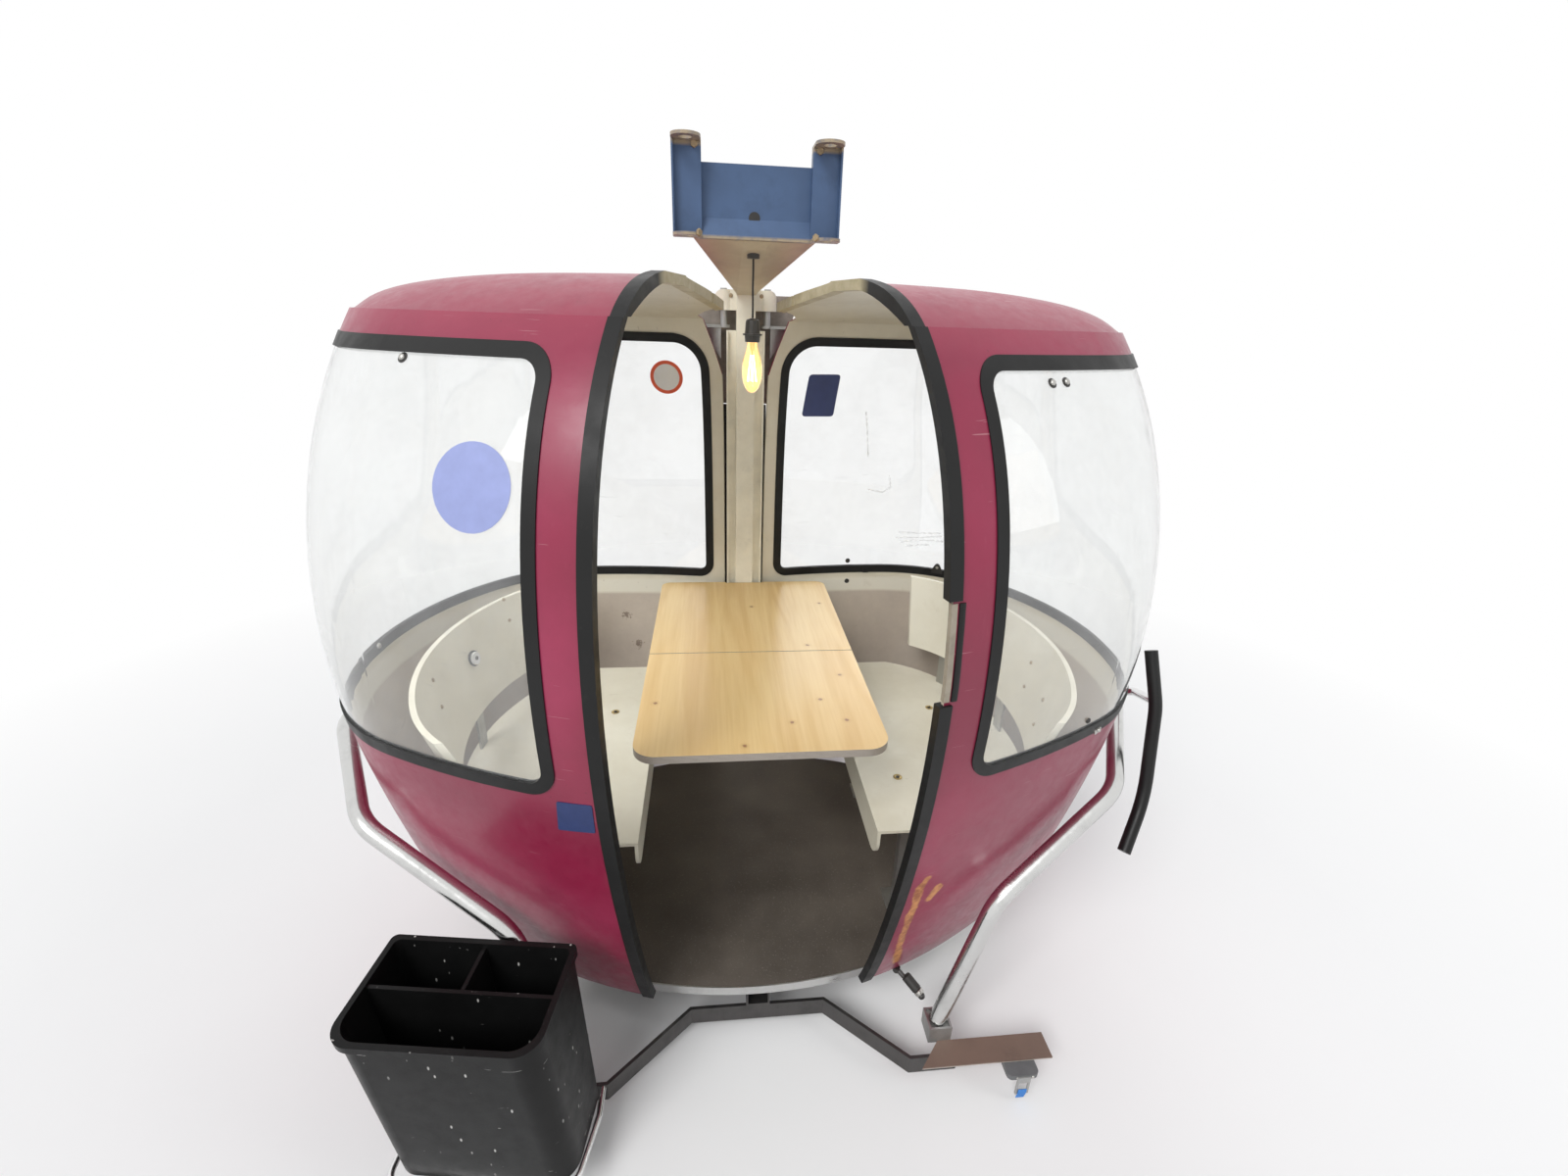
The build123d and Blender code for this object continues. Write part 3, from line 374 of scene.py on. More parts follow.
def make_painted(name, tone, chip, wear, rough, bare_and_highlight=None, wear_and_highlight_at=None):
    """Paint that is dirty in patches, and mixed to a second colour at the given heights: bare metal rubbed through on
    the bracket, a painted highlight along the bin plate's lower front edge.
    """
    t = Tree(name)
    base = t.ramp(t.noise(7.0, 5.0, 0.6), [(0.3, tuple(c * 0.86 for c in tone)),
                                           (0.7, tuple(min(c * 1.10, 1) for c in tone))])
    spots = t.ramp(t.noise(70.0, 8.0, 0.75), [(0.70 - 0.06 * wear, 0.0), (0.74, 0.85)])
    base = t.mix(t.math("MULTIPLY", spots, t.span(t.noise(4.0, 3.0, 0.5), 0.48, 0.66)), base, chip)
    if wear_and_highlight_at:
        z = t.along("Z")
        rim = t.chain("MAXIMUM", [t.span(z, start, full) for start, full in wear_and_highlight_at])
        patchy = t.ramp(t.noise(38.0, 6.0, 0.7), [(0.30, 0.35), (0.52, 0.95)])
        base = t.mix(t.math("MULTIPLY", rim, patchy), base, bare_and_highlight)
    dirt = t.ramp(t.noise(11.0, 7.0, 0.7), [(0.56, 0.0), (0.82, 0.4)])
    base = t.mix(dirt, base, tuple(c * 0.40 for c in tone))
    t.set(Base_Color=base, Roughness=t.span(t.noise(40.0, 4.0, 0.6), 0.3, 0.7, *rough),
          Normal=t.bump(t.noise(150.0, 4.0, 0.6), 0.15, 0.0007, t.bump(spots, 0.3, -0.0006)))
    return t.mat


def make_moulded():
    """Cream seat moulding: satin, with faint stains and hairline scratches."""
    t = Tree("moulded_cream")
    base = t.ramp(t.noise(4.0, 5.0, 0.6), [(0.30, (0.655, 0.610, 0.490)), (0.65, (0.760, 0.725, 0.610))])
    stain = t.ramp(t.noise(13.0, 7.0, 0.72), [(0.58, 0.0), (0.82, 0.32)])
    base = t.mix(stain, base, (0.46, 0.39, 0.28))
    hair = t.noise(1.0, 2.0, 0.4, 0.9, vector=t.mapped((10, 240, 18), (0.2, 0.4, 0.7)))
    base = t.mix(t.ramp(hair, [(0.745, 0.0), (0.76, 0.40)]), base, (0.40, 0.35, 0.27))
    t.set(Base_Color=base, Roughness=t.span(t.noise(18.0, 5.0, 0.6), 0.3, 0.7, 0.30, 0.46),
          Coat_Weight=0.15, Coat_Roughness=0.2, Normal=t.bump(t.noise(190.0, 3.0, 0.5), 0.12, 0.0006))
    return t.mat


TABLE_TOP_Z = 0.700
KNOTS = [(0.217, -0.647), (0.149, -0.762), (0.196, -0.852), (-0.040, -0.938), (0.156, -0.478), (0.233, -0.187),
         (-0.241, -0.759), (0.071, -0.855), (0.015, -0.208)]


def make_wood():
    """Varnished pine board: faint grain along the leaves, a few small knots, and plies on its edges, painted dark grey
    as shade.
    """
    t = Tree("pine_board")
    rings = t.noise(1.0, 3.0, 0.5, 1.2, vector=t.mapped((16, 1.1, 6)))
    grain = t.noise(1.0, 6.0, 0.62, 0.3, vector=t.mapped((170, 5.0, 40)))
    base = t.ramp(rings, [(0.35, (0.690, 0.460, 0.190)), (0.50, (0.755, 0.535, 0.240)), (0.66, (0.795, 0.585, 0.280))])
    base = t.mix(t.ramp(grain, [(0.42, 0.0), (0.74, 0.22)]), base, (0.540, 0.310, 0.120))
    tint = t.ramp(t.noise(2.6, 3.0, 0.5), [(0.35, 0.0), (0.70, 0.16)])
    base = t.mix(tint, base, (0.66, 0.40, 0.16))
    knot = t.math("ADD", t.near_points([(x, y, TABLE_TOP_Z) for x, y in KNOTS]),
                  t.span(t.noise(150.0, 3.0, 0.6), 0.3, 0.7, -0.0015, 0.0015))
    base = t.mix(t.span(knot, 0.004, 0.014, 0.35, 0.0), base, (0.50, 0.27, 0.10))
    base = t.mix(t.span(knot, 0.0030, 0.0058, 0.85, 0.0), base, (0.235, 0.085, 0.035))
    # The board's edges are much darker and greyer than its top: painted shade on its sides, over real ply stripes.
    plies_in_painted_shade = t.ramp(t.wave(105.0, "Z", 0.6, 6.0), [(0.25, (0.250, 0.215, 0.185)), (0.60, (0.370, 0.325, 0.275))])
    plies_in_painted_shade = t.mix(t.ramp(t.noise(60.0, 5.0, 0.7), [(0.5, 0.0), (0.8, 0.4)]), plies_in_painted_shade, (0.170, 0.150, 0.135))
    base = t.mix(t.span(t.along("Z", t.normal_local()), 0.70, 0.45), base, plies_in_painted_shade)
    t.set(Base_Color=base, Roughness=t.span(grain, 0.3, 0.7, 0.32, 0.44), Coat_Weight=0.25, Coat_Roughness=0.2,
          Normal=t.bump(grain, 0.12, 0.0005))
    return t.mat


def make_floor_sheet():
    """Dark brown-grey floor sheet with walked-in dirt."""
    t = Tree("floor_sheet")
    base = t.ramp(t.noise(5.0, 6.0, 0.65), [(0.30, (0.070, 0.058, 0.048)), (0.68, (0.125, 0.106, 0.088))])
    worn = t.ramp(t.noise(2.0, 3.0, 0.5), [(0.42, 0.0), (0.65, 0.45)])
    base = t.mix(worn, base, (0.165, 0.142, 0.120))
    speck = t.ramp(t.noise(240.0, 2.0, 0.5), [(0.62, 0.0), (0.72, 0.4)])
    base = t.mix(speck, base, (0.22, 0.20, 0.175))
    t.set(Base_Color=base, Roughness=t.span(t.noise(20.0, 4.0, 0.6), 0.3, 0.7, 0.50, 0.68),
          Normal=t.bump(t.noise(40.0, 4.0, 0.6), 0.15, 0.0012, t.bump(t.noise(300.0, 3.0, 0.6), 0.25, 0.0006)))
    return t.mat


def make_black_plastic():
    """Black moulded plastic with pale nicks and rubbed patches."""
    t = Tree("black_plastic")
    base = t.ramp(t.noise(6.0, 5.0, 0.6), [(0.3, 0.0045), (0.7, 0.0085)])
    rub = t.ramp(t.noise(24.0, 9.0, 0.78, 0.4), [(0.62, 0.0), (0.76, 0.35)])
    base = t.mix(t.math("MULTIPLY", rub, t.span(t.noise(3.3, 2.0, 0.5), 0.46, 0.66)), base, (0.105, 0.104, 0.102))
    nick = t.ramp(t.cells(46.0, t.mapped((1.0, 1.0, 0.45), (0.3, 0.5, 0.2))), [(0.07, 0.95), (0.12, 0.0)])
    base = t.mix(t.math("MULTIPLY", nick, t.span(t.noise(5.0, 2.0, 0.5), 0.46, 0.54)), base, (0.50, 0.49, 0.47))
    nicks = t.noise(1.0, 2.0, 0.5, 1.2, vector=t.mapped((22, 22, 130), (0.6, 0.3, 0.5)))
    base = t.mix(t.ramp(nicks, [(0.745, 0.0), (0.76, 0.8)]), base, (0.40, 0.39, 0.38))
    t.set(Base_Color=base, Roughness=t.span(t.noise(30.0, 5.0, 0.6), 0.3, 0.7, 0.28, 0.42), Specular_IOR_Level=0.2,
          Normal=t.bump(t.noise(340.0, 3.0, 0.6), 0.22, 0.0006))
    return t.mat


def make_flat(name, tone, rough=0.5, spread=0.12, metallic=0.0):
    """Plain matter with a little variation, for small pieces."""
    t = Tree(name)
    dark = tuple(c * (1 - spread) for c in tone)
    pale = tuple(min(c * (1 + spread), 1.0) for c in tone)
    t.set(Base_Color=t.ramp(t.noise(30.0, 5.0, 0.6), [(0.3, dark), (0.7, pale)]), Metallic=metallic,
          Roughness=t.span(t.noise(80.0, 3.0, 0.5), 0.3, 0.7, rough - 0.05, rough + 0.07),
          Normal=t.bump(t.noise(260.0, 3.0, 0.5), 0.1, 0.0004))
    return t.mat


def make_webbing():
    t = Tree("webbing_blue")
    weave = t.wave(420.0, "Z")
    t.set(Base_Color=t.ramp(weave, [(0.3, (0.030, 0.165, 0.52)), (0.7, (0.060, 0.290, 0.78))]), Roughness=0.7,
          Normal=t.bump(weave, 0.4, 0.0006, t.bump(t.wave(380.0, "X"), 0.3, 0.0004)))
    return t.mat


def make_bulb():
    """Lit lamp glass: clear, with the warm light of its filaments in it."""
    t = Tree("bulb_glass")
    t.set(Base_Color=t.ramp(t.noise(12.0, 2.0, 0.5), [(0.3, (0.98, 0.90, 0.74)), (0.7, (0.99, 0.93, 0.80))]),
          Transmission_Weight=1.0, IOR=1.45, Roughness=0.03, Emission_Color=(1.0, 0.60, 0.22), Emission_Strength=0.30)
    return t.mat


def make_glow():
    t = Tree("filament")
    t.set(Base_Color=t.ramp(t.noise(60.0, 2.0, 0.5), [(0.3, (0.9, 0.6, 0.3)), (0.7, (1.0, 0.8, 0.5))]), Roughness=0.5,
          Emission_Color=(1.0, 0.66, 0.28), Emission_Strength=9.0)
    return t.mat


MATS = {
    "shell_left": make_shell(-1),
    "shell_right": make_shell(1),
    "rubber": make_rubber("rubber"),
    "door_seal": make_rubber("door_rubber", True),
    "acrylic_left": make_acrylic(-1),
    "acrylic_right": make_acrylic(1),
    "post": make_painted("post_paint", (0.80, 0.76, 0.63), (0.50, 0.43, 0.31), 0.2, (0.34, 0.5)),
    "galvanised": make_steel("galvanised", (0.46, 0.46, 0.45), (0.36, 0.52)),
    "bracket": make_painted("bracket_blue", (0.058, 0.105, 0.205), (0.12, 0.10, 0.09), 0.3, (0.34, 0.50),
                            (0.40, 0.32, 0.21), [(-0.016, -0.010), (-0.178, -0.183)]),
    "arm": make_painted("arm_paint", (0.640, 0.575, 0.420), (0.30, 0.22, 0.13), 0.5, (0.38, 0.54)),
    "stainless": make_steel("stainless", (0.66, 0.66, 0.65), (0.13, 0.24), 1.0, 0.22, (90, 90, 90)),
    "dark_steel": make_steel("dark_steel", (0.105, 0.100, 0.098), (0.34, 0.52), 0.9, 0.5),
    "chrome": make_steel("chrome", (0.78, 0.78, 0.78), (0.07, 0.14), 1.0, 0.15, (90, 90, 90)),
    "trim": make_steel("edge_trim", (0.60, 0.60, 0.59), (0.24, 0.40), 1.0, 0.35, (4, 60, 60)),
    "moulded": make_moulded(),
    "wood": make_wood(),
    "floor": make_floor_sheet(),
    "black": make_black_plastic(),
    # The plate's pale colour below its lower front edge is a painted highlight.
    "plate": make_painted("plate_brown", (0.165, 0.110, 0.085), (0.23, 0.17, 0.13), 0.1, (0.40, 0.58),
                          (0.50, 0.45, 0.40), [(-1.9680, -1.9700)]),
    "grey": make_flat("grey_plastic", (0.115, 0.118, 0.122), 0.45),
    "bulb": make_bulb(),
    "filament": make_glow(),
    "holder": make_flat("lamp_holder_black", (0.050, 0.047, 0.043), 0.38),
    "cord": make_flat("cord_black", (0.030, 0.026, 0.022), 0.55),
    "bolt": make_flat("zinc_bolt", (0.52, 0.51, 0.48), 0.32, 0.2, 0.9),
    "bolt_dark_and_hole_shade": make_flat("dark_bolt_and_hole_shade", (0.024, 0.022, 0.020), 0.45, 0.3),
    "bolt_worn": make_flat("worn_bolt", (0.33, 0.25, 0.15), 0.45, 0.3),
    "brass": make_flat("brass_cup", (0.55, 0.42, 0.20), 0.30, 0.2, 0.9),
    "disc": make_flat("number_disc", (0.300, 0.345, 0.620), 0.42, 0.06),
    "sign": make_flat("sign_plate", (0.022, 0.040, 0.135), 0.40, 0.10),
    "sticker_white": make_flat("sticker_white", (0.74, 0.73, 0.72), 0.40, 0.04),
    "sticker_red": make_flat("sticker_red", (0.72, 0.095, 0.030), 0.40, 0.06),
    "sticker_blue": make_flat("sticker_blue", (0.030, 0.045, 0.150), 0.40, 0.08),
    "backing": make_flat("backing_plate", (0.245, 0.215, 0.185), 0.6, 0.25),
    "lip": make_flat("edge_lip", (0.300, 0.262, 0.205), 0.5, 0.2),
    "webbing": make_webbing(),
}

NODE_MATS = {
    "side_shell_left": "shell_left", "roof_left": "shell_left",
    "side_shell_right": "shell_right", "roof_right": "shell_right",
    "window_left": "acrylic_left", "window_right": "acrylic_right", "window_seal": "rubber",
    "door_seal": "door_seal", "hinge_arms": "galvanised",
    "latch_rod": "dark_steel", "spine_post": "post", "hinge_head": "post", "hinge_foot": "galvanised",
    "hanger_arm": "arm", "hanger_bracket": "bracket", "centre_beam": "dark_steel",
    "cross_members": "dark_steel", "front_bar": "dark_steel", "rear_bar": "dark_steel",
    "floor_panel": "floor", "floor_edge": "trim", "bin_plate": "plate", "tube_clamps": "galvanised",
    "bumper_tube": "stainless", "ski_bin": "black", "bin_guard_rod": "chrome", "strap_block": "grey",
    "strap_buckle": "galvanised", "ski_rest_bar": "rubber", "ski_rest_bracket": "chrome",
    "seat": "moulded", "seat_legs": "galvanised", "backrest": "moulded", "backrest_stays": "galvanised",
    "table_rear": "wood", "table_front": "wood", "table_frame": "galvanised", "lamp_gland": "holder",
    "lamp_cord": "cord", "lamp_holder": "holder", "lamp_bulb": "bulb",
}

# Each node takes the material of the longest name that starts its own
for name, obj in nodes.items():
    key = max((k for k in NODE_MATS if name.startswith(k)), key=len)
    obj.data.materials.clear()
    obj.data.materials.append(MATS[NODE_MATS[key]])


# Mesh helpers
def add(name, bm, mats, body, angle=35.0):
    bmesh.ops.recalc_face_normals(bm, faces=bm.faces)
    mesh = bpy.data.meshes.new(name)
    bm.to_mesh(mesh)
    bm.free()
    mesh.transform(Matrix.Translation(SHIFT))
    for key in mats:
        mesh.materials.append(MATS[key])
    for p in mesh.polygons:
        p.use_smooth = True
    mesh.set_sharp_from_angle(angle=math.radians(angle))
    obj = bpy.data.objects.new(name, mesh)
    bpy.context.scene.collection.objects.link(obj)
    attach(obj, body)
    return obj


def stand(point, normal, spin=None):
    """A place whose z axis is the normal, and whose x axis lies along spin as near as it can."""
    z = Vector(normal).normalized()
    x = Vector(spin if spin is not None else (0, 0, 1) if abs(z.z) < 0.9 else (1, 0, 0))
    x = (x - z * x.dot(z)).normalized()
    return Matrix.Translation(Vector(point)) @ Matrix((x, z.cross(x), z)).transposed().to_4x4()


def circle(radius, steps, height=0.0):
    """Points round the z axis."""
    turns = [math.tau * i / steps for i in range(steps)]
    return [Vector((radius * math.cos(a), radius * math.sin(a), height)) for a in turns]


def join(bm, a, b, mat=0):
    """Faces between two rings of points. Either may be a single point."""
    steps = max(len(a), len(b))
    for i in range(steps):
        j = (i + 1) % steps
        corners = []
        for v in (a[i % len(a)], a[j % len(a)], b[j % len(b)], b[i % len(b)]):
            if v not in corners:
                corners.append(v)
        if len(corners) > 2:
            bm.faces.new(corners).material_index = mat


def skin(bm, rings, mat=0):
    """Joins the rings in turn and closes both ends."""
    for a, b in zip(rings, rings[1:]):
        join(bm, a, b, mat)
    for ring in (rings[0], rings[-1]):
        bm.faces.new(ring).material_index = mat


def lathe(bm, profile, place, steps=20, mat=0, loop=False):
    """Turns (radius, height) points round the place's z axis. A loop also joins the last to the first."""
    rings = []
    for r, h in profile:
        ring = [Vector((0, 0, h))] if r < 1e-6 else circle(r, steps, h)
        rings.append([bm.verts.new(place @ p) for p in ring])
    for a, b in list(zip(rings, rings[1:])) + ([(rings[-1], rings[0])] if loop else []):
        join(bm, a, b, mat)


def sweep(bm, points, radius, steps, mat):
    """A round bar through the points, with flat ends."""
    pts = [Vector(p) for p in points]
    side, rings = None, []
    for i, p in enumerate(pts):
        along = (pts[min(i + 1, len(pts) - 1)] - pts[max(i - 1, 0)]).normalized()
        side = along.orthogonal() if side is None else side - along * side.dot(along)
        side.normalize()
        up = along.cross(side)
        rings.append([bm.verts.new(p + c.x * side + c.y * up) for c in circle(radius, steps)])
    skin(bm, rings, mat)


def prism(bm, outline, place, low, high, mat=0):
    """A flat outline in the place's x and y, from height low to high."""
    skin(bm, [[bm.verts.new(place @ Vector((x, y, h))) for x, y in outline] for h in (low, high)], mat)


def loft(bm, sections):
    """Closed skin through cross-sections that have the same number of points."""
    skin(bm, [[bm.verts.new(Vector(p)) for p in s] for s in sections])


def touch(node, point, toward=None, back=0.12):
    """Where the ray to the point from the camera's side, or along toward, meets the node: the spot and its normal."""
    p = row_point(point)
    d = (p - EYE).normalized() if toward is None else Vector(toward).normalized()
    hit, spot, normal, _ = nodes[node].ray_cast(p - d * back, d, distance=back * 2.5)
    if not hit:
        return Vector(point), -d
    return spot - SHIFT, -normal if normal.dot(d) > 0 else normal


def round_outline(corners, radius, steps=5):
    """The corners of a flat shape in 3-D, rounded, with a point in the middle of each side."""
    corners = [Vector(c) for c in corners]
    out = []
    for i, c in enumerate(corners):
        before, after = corners[i - 1], corners[(i + 1) % len(corners)]
        a, b = c + (before - c).normalized() * radius, c + (after - c).normalized() * radius
        for k in range(steps + 1):
            t = k / steps
            out.append((1 - t) ** 2 * a + 2 * t * (1 - t) * c + t * t * b)
        out.append((b + (after + (c - after).normalized() * radius)) / 2)
    return out


def decal(name, node, outline, normal, levels, ring_mats, mats, body, lift=0.0006):
    """A thin sheet that lies on the node's surface inside the outline, in rings that are scaled by the levels."""
    centre = sum((Vector(p) for p in outline), Vector()) / len(outline)
    n = Vector(normal).normalized()
    bm = bmesh.new()
    sheets = []
    for height in (lift, 0.00005):
        sheet = []
        for f in levels:
            ring = []
            for p in outline if f > 0 else [centre]:
                q = centre + (Vector(p) - centre) * f
                hit, spot, _, _ = nodes[node].ray_cast(row_point(q + n * 0.06), -n, distance=0.16)
                ring.append(bm.verts.new((spot - SHIFT if hit else q) + n * height))
            sheet.append(ring)
        sheets.append(sheet)
    for sheet in sheets:
        for a, b, mat in zip(sheet, sheet[1:], ring_mats):
            join(bm, a, b, mat)
    join(bm, sheets[0][0], sheets[1][0], ring_mats[0])
    add(name, bm, mats, body)


def disc_decal(name, node, centre, normal, radius, levels, ring_mats, mats, body):
    place = stand(centre, normal)
    decal(name, node, [place @ p for p in circle(radius, 40)], normal, levels, ring_mats, mats, body)


# Profiles of fasteners, in radii of the fastener
DOME = [(1.0, 0.0), (1.0, 0.30), (0.90, 0.50), (0.60, 0.68), (0.25, 0.76), (0, 0.78)]
HEX_HEAD = [(1.0, 0.0), (1.0, 0.55), (0.88, 0.70), (0, 0.70)]
FLAT_PLUG = [(1.0, 0.0), (1.0, 0.10), (0.8, 0.18), (0, 0.18)]
WASHER = [(0, 0.0), (1.0, 0.0), (1.0, 0.12), (0.62, 0.20), (0, 0.20)]
SUNK = 0.0005


def bolt(bm, point, normal, radius, mat=0, washer=None, steps=16, profile=DOME):
    """A fastener that stands on the point. Washer is the material of its washer, if it has one."""
    place = stand(point, normal)
    base = 0.0
    if washer:
        lathe(bm, [(r * radius * 1.7, h * radius - SUNK) for r, h in WASHER], place, steps, washer)
        base = 0.18 * radius
    lathe(bm, [(0, -SUNK)] + [(r * radius, h * radius + base) for r, h in profile], place, steps, mat)


# The lamp: holder with its collar, thin glass, stem and glowing sticks
LAMP_Y, GLASS_TOP, GLASS_WALL, GLASS_STEPS = -0.345, 1.4836, 0.0007, 40
HOLDER_BODY = [(0, 1.5395), (0.0062, 1.5395), (0.0080, 1.5380), (0.0135, 1.5372), (0.0160, 1.5345), (0.0172, 1.5290),
               (0.0180, 1.5150), (0.0188, 1.5060), (0.0190, 1.5045), (0.0238, 1.5040), (0.0242, 1.5020),
               (0.0238, 1.5000), (0.0196, 1.4996), (0.0190, 1.4940), (0.0182, 1.4850), (0.0168, 1.4842),
               (0.0160, 1.4860), (0.0158, 1.4960), (0, 1.4960)]
HOLDER_CAP = [(0, 1.4955), (0.0135, 1.4955), (0.0140, 1.4890), (0.0132, 1.4865), (0.0140, 1.4845), (0.0128, 1.4838),
              (0, 1.4838)]
GLASS = [(0.0130, 0.0), (0.0134, 0.006), (0.0150, 0.016), (0.0190, 0.030), (0.0232, 0.043), (0.0256, 0.056),
         (0.0260, 0.070), (0.0250, 0.084), (0.0224, 0.097), (0.0178, 0.109), (0.0115, 0.117), (0.0055, 0.1208),
         (0, 0.1220)]
STEM = [(0, 0.001), (0.0065, 0.001), (0.0055, 0.014), (0.0028, 0.024), (0.0024, 0.030), (0, 0.031)]
lamp_axis = stand((0, LAMP_Y, 0), (0, 0, 1), (1, 0, 0))
bm = bmesh.new()
lathe(bm, HOLDER_BODY, lamp_axis, 12)
lathe(bm, HOLDER_CAP, lamp_axis, 24, 1)
lamp_socket = add("lamp_socket", bm, ["holder", "brass"], "frame", 28.0)
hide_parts("lamp_holder")


def in_lamp(radius, angle, drop):
    """A point this far from the lamp's axis and below the top of its glass."""
    return Vector((radius * math.cos(angle), LAMP_Y + radius * math.sin(angle), GLASS_TOP - drop))


bm = bmesh.new()
inside = [(max(r - GLASS_WALL, 0), h - (0.0 if h < 0.1 else GLASS_WALL)) for r, h in GLASS]
lathe(bm, [(r, GLASS_TOP - h) for r, h in GLASS + inside[::-1]], lamp_axis, GLASS_STEPS)
bm.verts.ensure_lookup_table()
join(bm, bm.verts[:GLASS_STEPS], bm.verts[-GLASS_STEPS:])
lathe(bm, [(r, GLASS_TOP - h) for r, h in STEM], lamp_axis, 16, 2)
for k in range(6):
    a = math.tau * (k + 0.3) / 6
    top, low = in_lamp(0.0045, a, 0.030), in_lamp(0.0125, a + 0.35, 0.094)
    sweep(bm, [top, low], 0.0013, 6, 1)
    sweep(bm, [low, in_lamp(0.0030, a, 0.101)], 0.0003, 5, 2)
    sweep(bm, [in_lamp(0, 0, 0.028), top], 0.0003, 5, 2)
lamp_glass = add("lamp_glass", bm, ["bulb", "filament", "brass"], "frame", 60.0)
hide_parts("lamp_bulb")

lamp_flex.data.materials.append(MATS["cord"])
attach(lamp_flex, "frame")
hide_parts("lamp_cord")

# Rubber flaps that close the slits beside the post, and the plates behind the notches at its head.
# Sections are in millimetres.
FLAP = [(28.2, 42.0), (60.0, 42.0), (63.0, 40.8), (66.0, 41.2), (67.0, 43.2), (66.0, 45.6), (63.0, 46.0),
        (60.0, 45.0), (28.2, 45.0)]
COVER_EDGE = [(1.2885, 80), (1.34, 81), (1.38, 85), (1.41, 94), (1.44, 104), (1.47, 115), (1.50, 128), (1.53, 142),
              (1.56, 152), (1.59, 156), (1.604, 150)]
for side, name in SIDE_NAME.items():
    bm = bmesh.new()
    loft(bm, [[(side * x / 1000, y / 1000, z) for x, y in FLAP] for z in (0.012, 0.30, 0.62, 0.95, 1.288)])
    add("rear_flap_" + name, bm, ["rubber"], "frame")
    bm = bmesh.new()
    sections = []
    for z, x in COVER_EDGE:
        section = ((12, 60.1), (x - 3, 60.1), (x - 0.8, 60.4), (x, 61.4), (x - 0.8, 63.1), (12, 63.1))
        sections.append([(side * u / 1000, v / 1000, z) for u, v in section])
    loft(bm, sections)
    for z in (1.33, 1.42, 1.49):
        bolt(bm, (side * 0.020, 0.0630, z), (0, 1, 0), 0.006, 1, None, 6, HEX_HEAD)
    add("notch_cover_" + name, bm, ["backing", "bolt"], "frame")

# The bare edge of the right shell, where its seal is missing. Sections are in millimetres along and out of it.
EDGE_LINE = [(0.307, -1.124, 0.912), (0.307, -1.124, 0.940), (0.3062, -1.1232, 0.972), (0.3050, -1.1195, 1.020),
             (0.3040, -1.1160, 1.063), (0.3031, -1.1115, 1.099)]
EDGE_ALONG, EDGE_OUT = Vector((0.966, 0.259, 0)), Vector((0.259, -0.966, 0))
LIP = [(10, 0.3), (9.5, 1.6), (-0.8, 1.6), (-1.8, 0.8), (-1.8, -9.4), (-0.8, -10.2), (8.5, -10.2), (9, -8.9),
       (0.1, -8.9), (-0.2, 0.3)]
STRIP = [(13, -0.3), (26, -0.3), (25.6, 2.4), (24.4, 3.1), (14.6, 3.1), (13.4, 2.4)]
for label, section, mat in (("edge_lip_right", LIP, "lip"), ("edge_strip_right", STRIP, "rubber")):
    bm = bmesh.new()
    loft(bm, [[Vector(p) + EDGE_ALONG * (a / 1000) + EDGE_OUT * (n / 1000) for a, n in section] for p in EDGE_LINE])
    add(label, bm, [mat], "half_right")

# Blank signs: number disc, plate and the two stickers
PLATE_CORNERS = [(-0.395, -1.089, 0.700), (-0.327, -1.109, 0.704), (-0.327, -1.101, 0.633), (-0.400, -1.078, 0.626)]
STICKER_CORNERS = [(0.200, 0.025, 1.384), (0.301, 0.036, 1.385), (0.286, 0.051, 1.254), (0.182, 0.038, 1.254)]
disc_decal("number_disc", "window_left", (-0.493, -1.007, 1.271), (-0.34, -0.88, 0.34), 0.075,
           (1, 0.8, 0.6, 0.4, 0.2, 0), (0, 0, 0, 0, 0), ["disc"], "half_left")
decal("number_plate", "side_shell_left", round_outline(PLATE_CORNERS, 0.004), (-0.28, -0.95, -0.11),
      (1, 0.7, 0.4, 0), (0, 0, 0), ["sign"], "half_left", 0.0014)
disc_decal("round_sticker", "window_left", (-0.240, 0.033, 1.365), (-0.11, -0.98, -0.16), 0.050,
           (1, 0.79, 0.6, 0.3, 0), (1, 0, 0, 0), ["sticker_white", "sticker_red"], "half_left")
decal("square_sticker", "window_right", round_outline(STICKER_CORNERS, 0.012), (0.11, -0.98, -0.12),
      (1, 0.75, 0.5, 0.25, 0), (0, 0, 0, 0), ["sticker_blue"], "half_right")

# Fasteners and small fittings, one piece for each side and kind of carrier
WINDOW_BOLTS = {-1: [(-0.632, -0.840, 1.458)], 1: [(0.519, -0.901, 1.446), (0.554, -0.885, 1.447)]}
REAR_PLUGS = (("window_right", (0.372, 0.070, 0.752)), ("side_shell_right", (0.373, 0.066, 0.676)))
SEAL_TABS = {-1: (-0.735, -0.009, 0.737), 1: (0.686, 0.021, 0.726)}
SEAT_CUPS = {-1: [(-0.403, -0.352, 0.42), (-0.613, -0.381, 0.42)], 1: [(0.380, -0.709, 0.42), (0.569, -0.379, 0.42)]}
BACKREST_BOLTS = {
    -1: [(-0.718, -0.247, 0.750), (-0.707, -0.256, 0.687), (-0.779, -0.636, 0.706), (-0.758, -0.663, 0.647)],
    1: [(0.776, -0.559, 0.674), (0.759, -0.578, 0.610), (0.748, -0.700, 0.642), (0.731, -0.720, 0.580)]}
CUP = [(0, -SUNK), (0.0115, -SUNK), (0.0120, 0.0006), (0.0095, 0.0020), (0.0062, 0.0006), (0, 0.0006)]
CUP_SCREW = [(0, 0.0004), (0.0055, 0.0004), (0.0050, 0.0014), (0, 0.0016)]
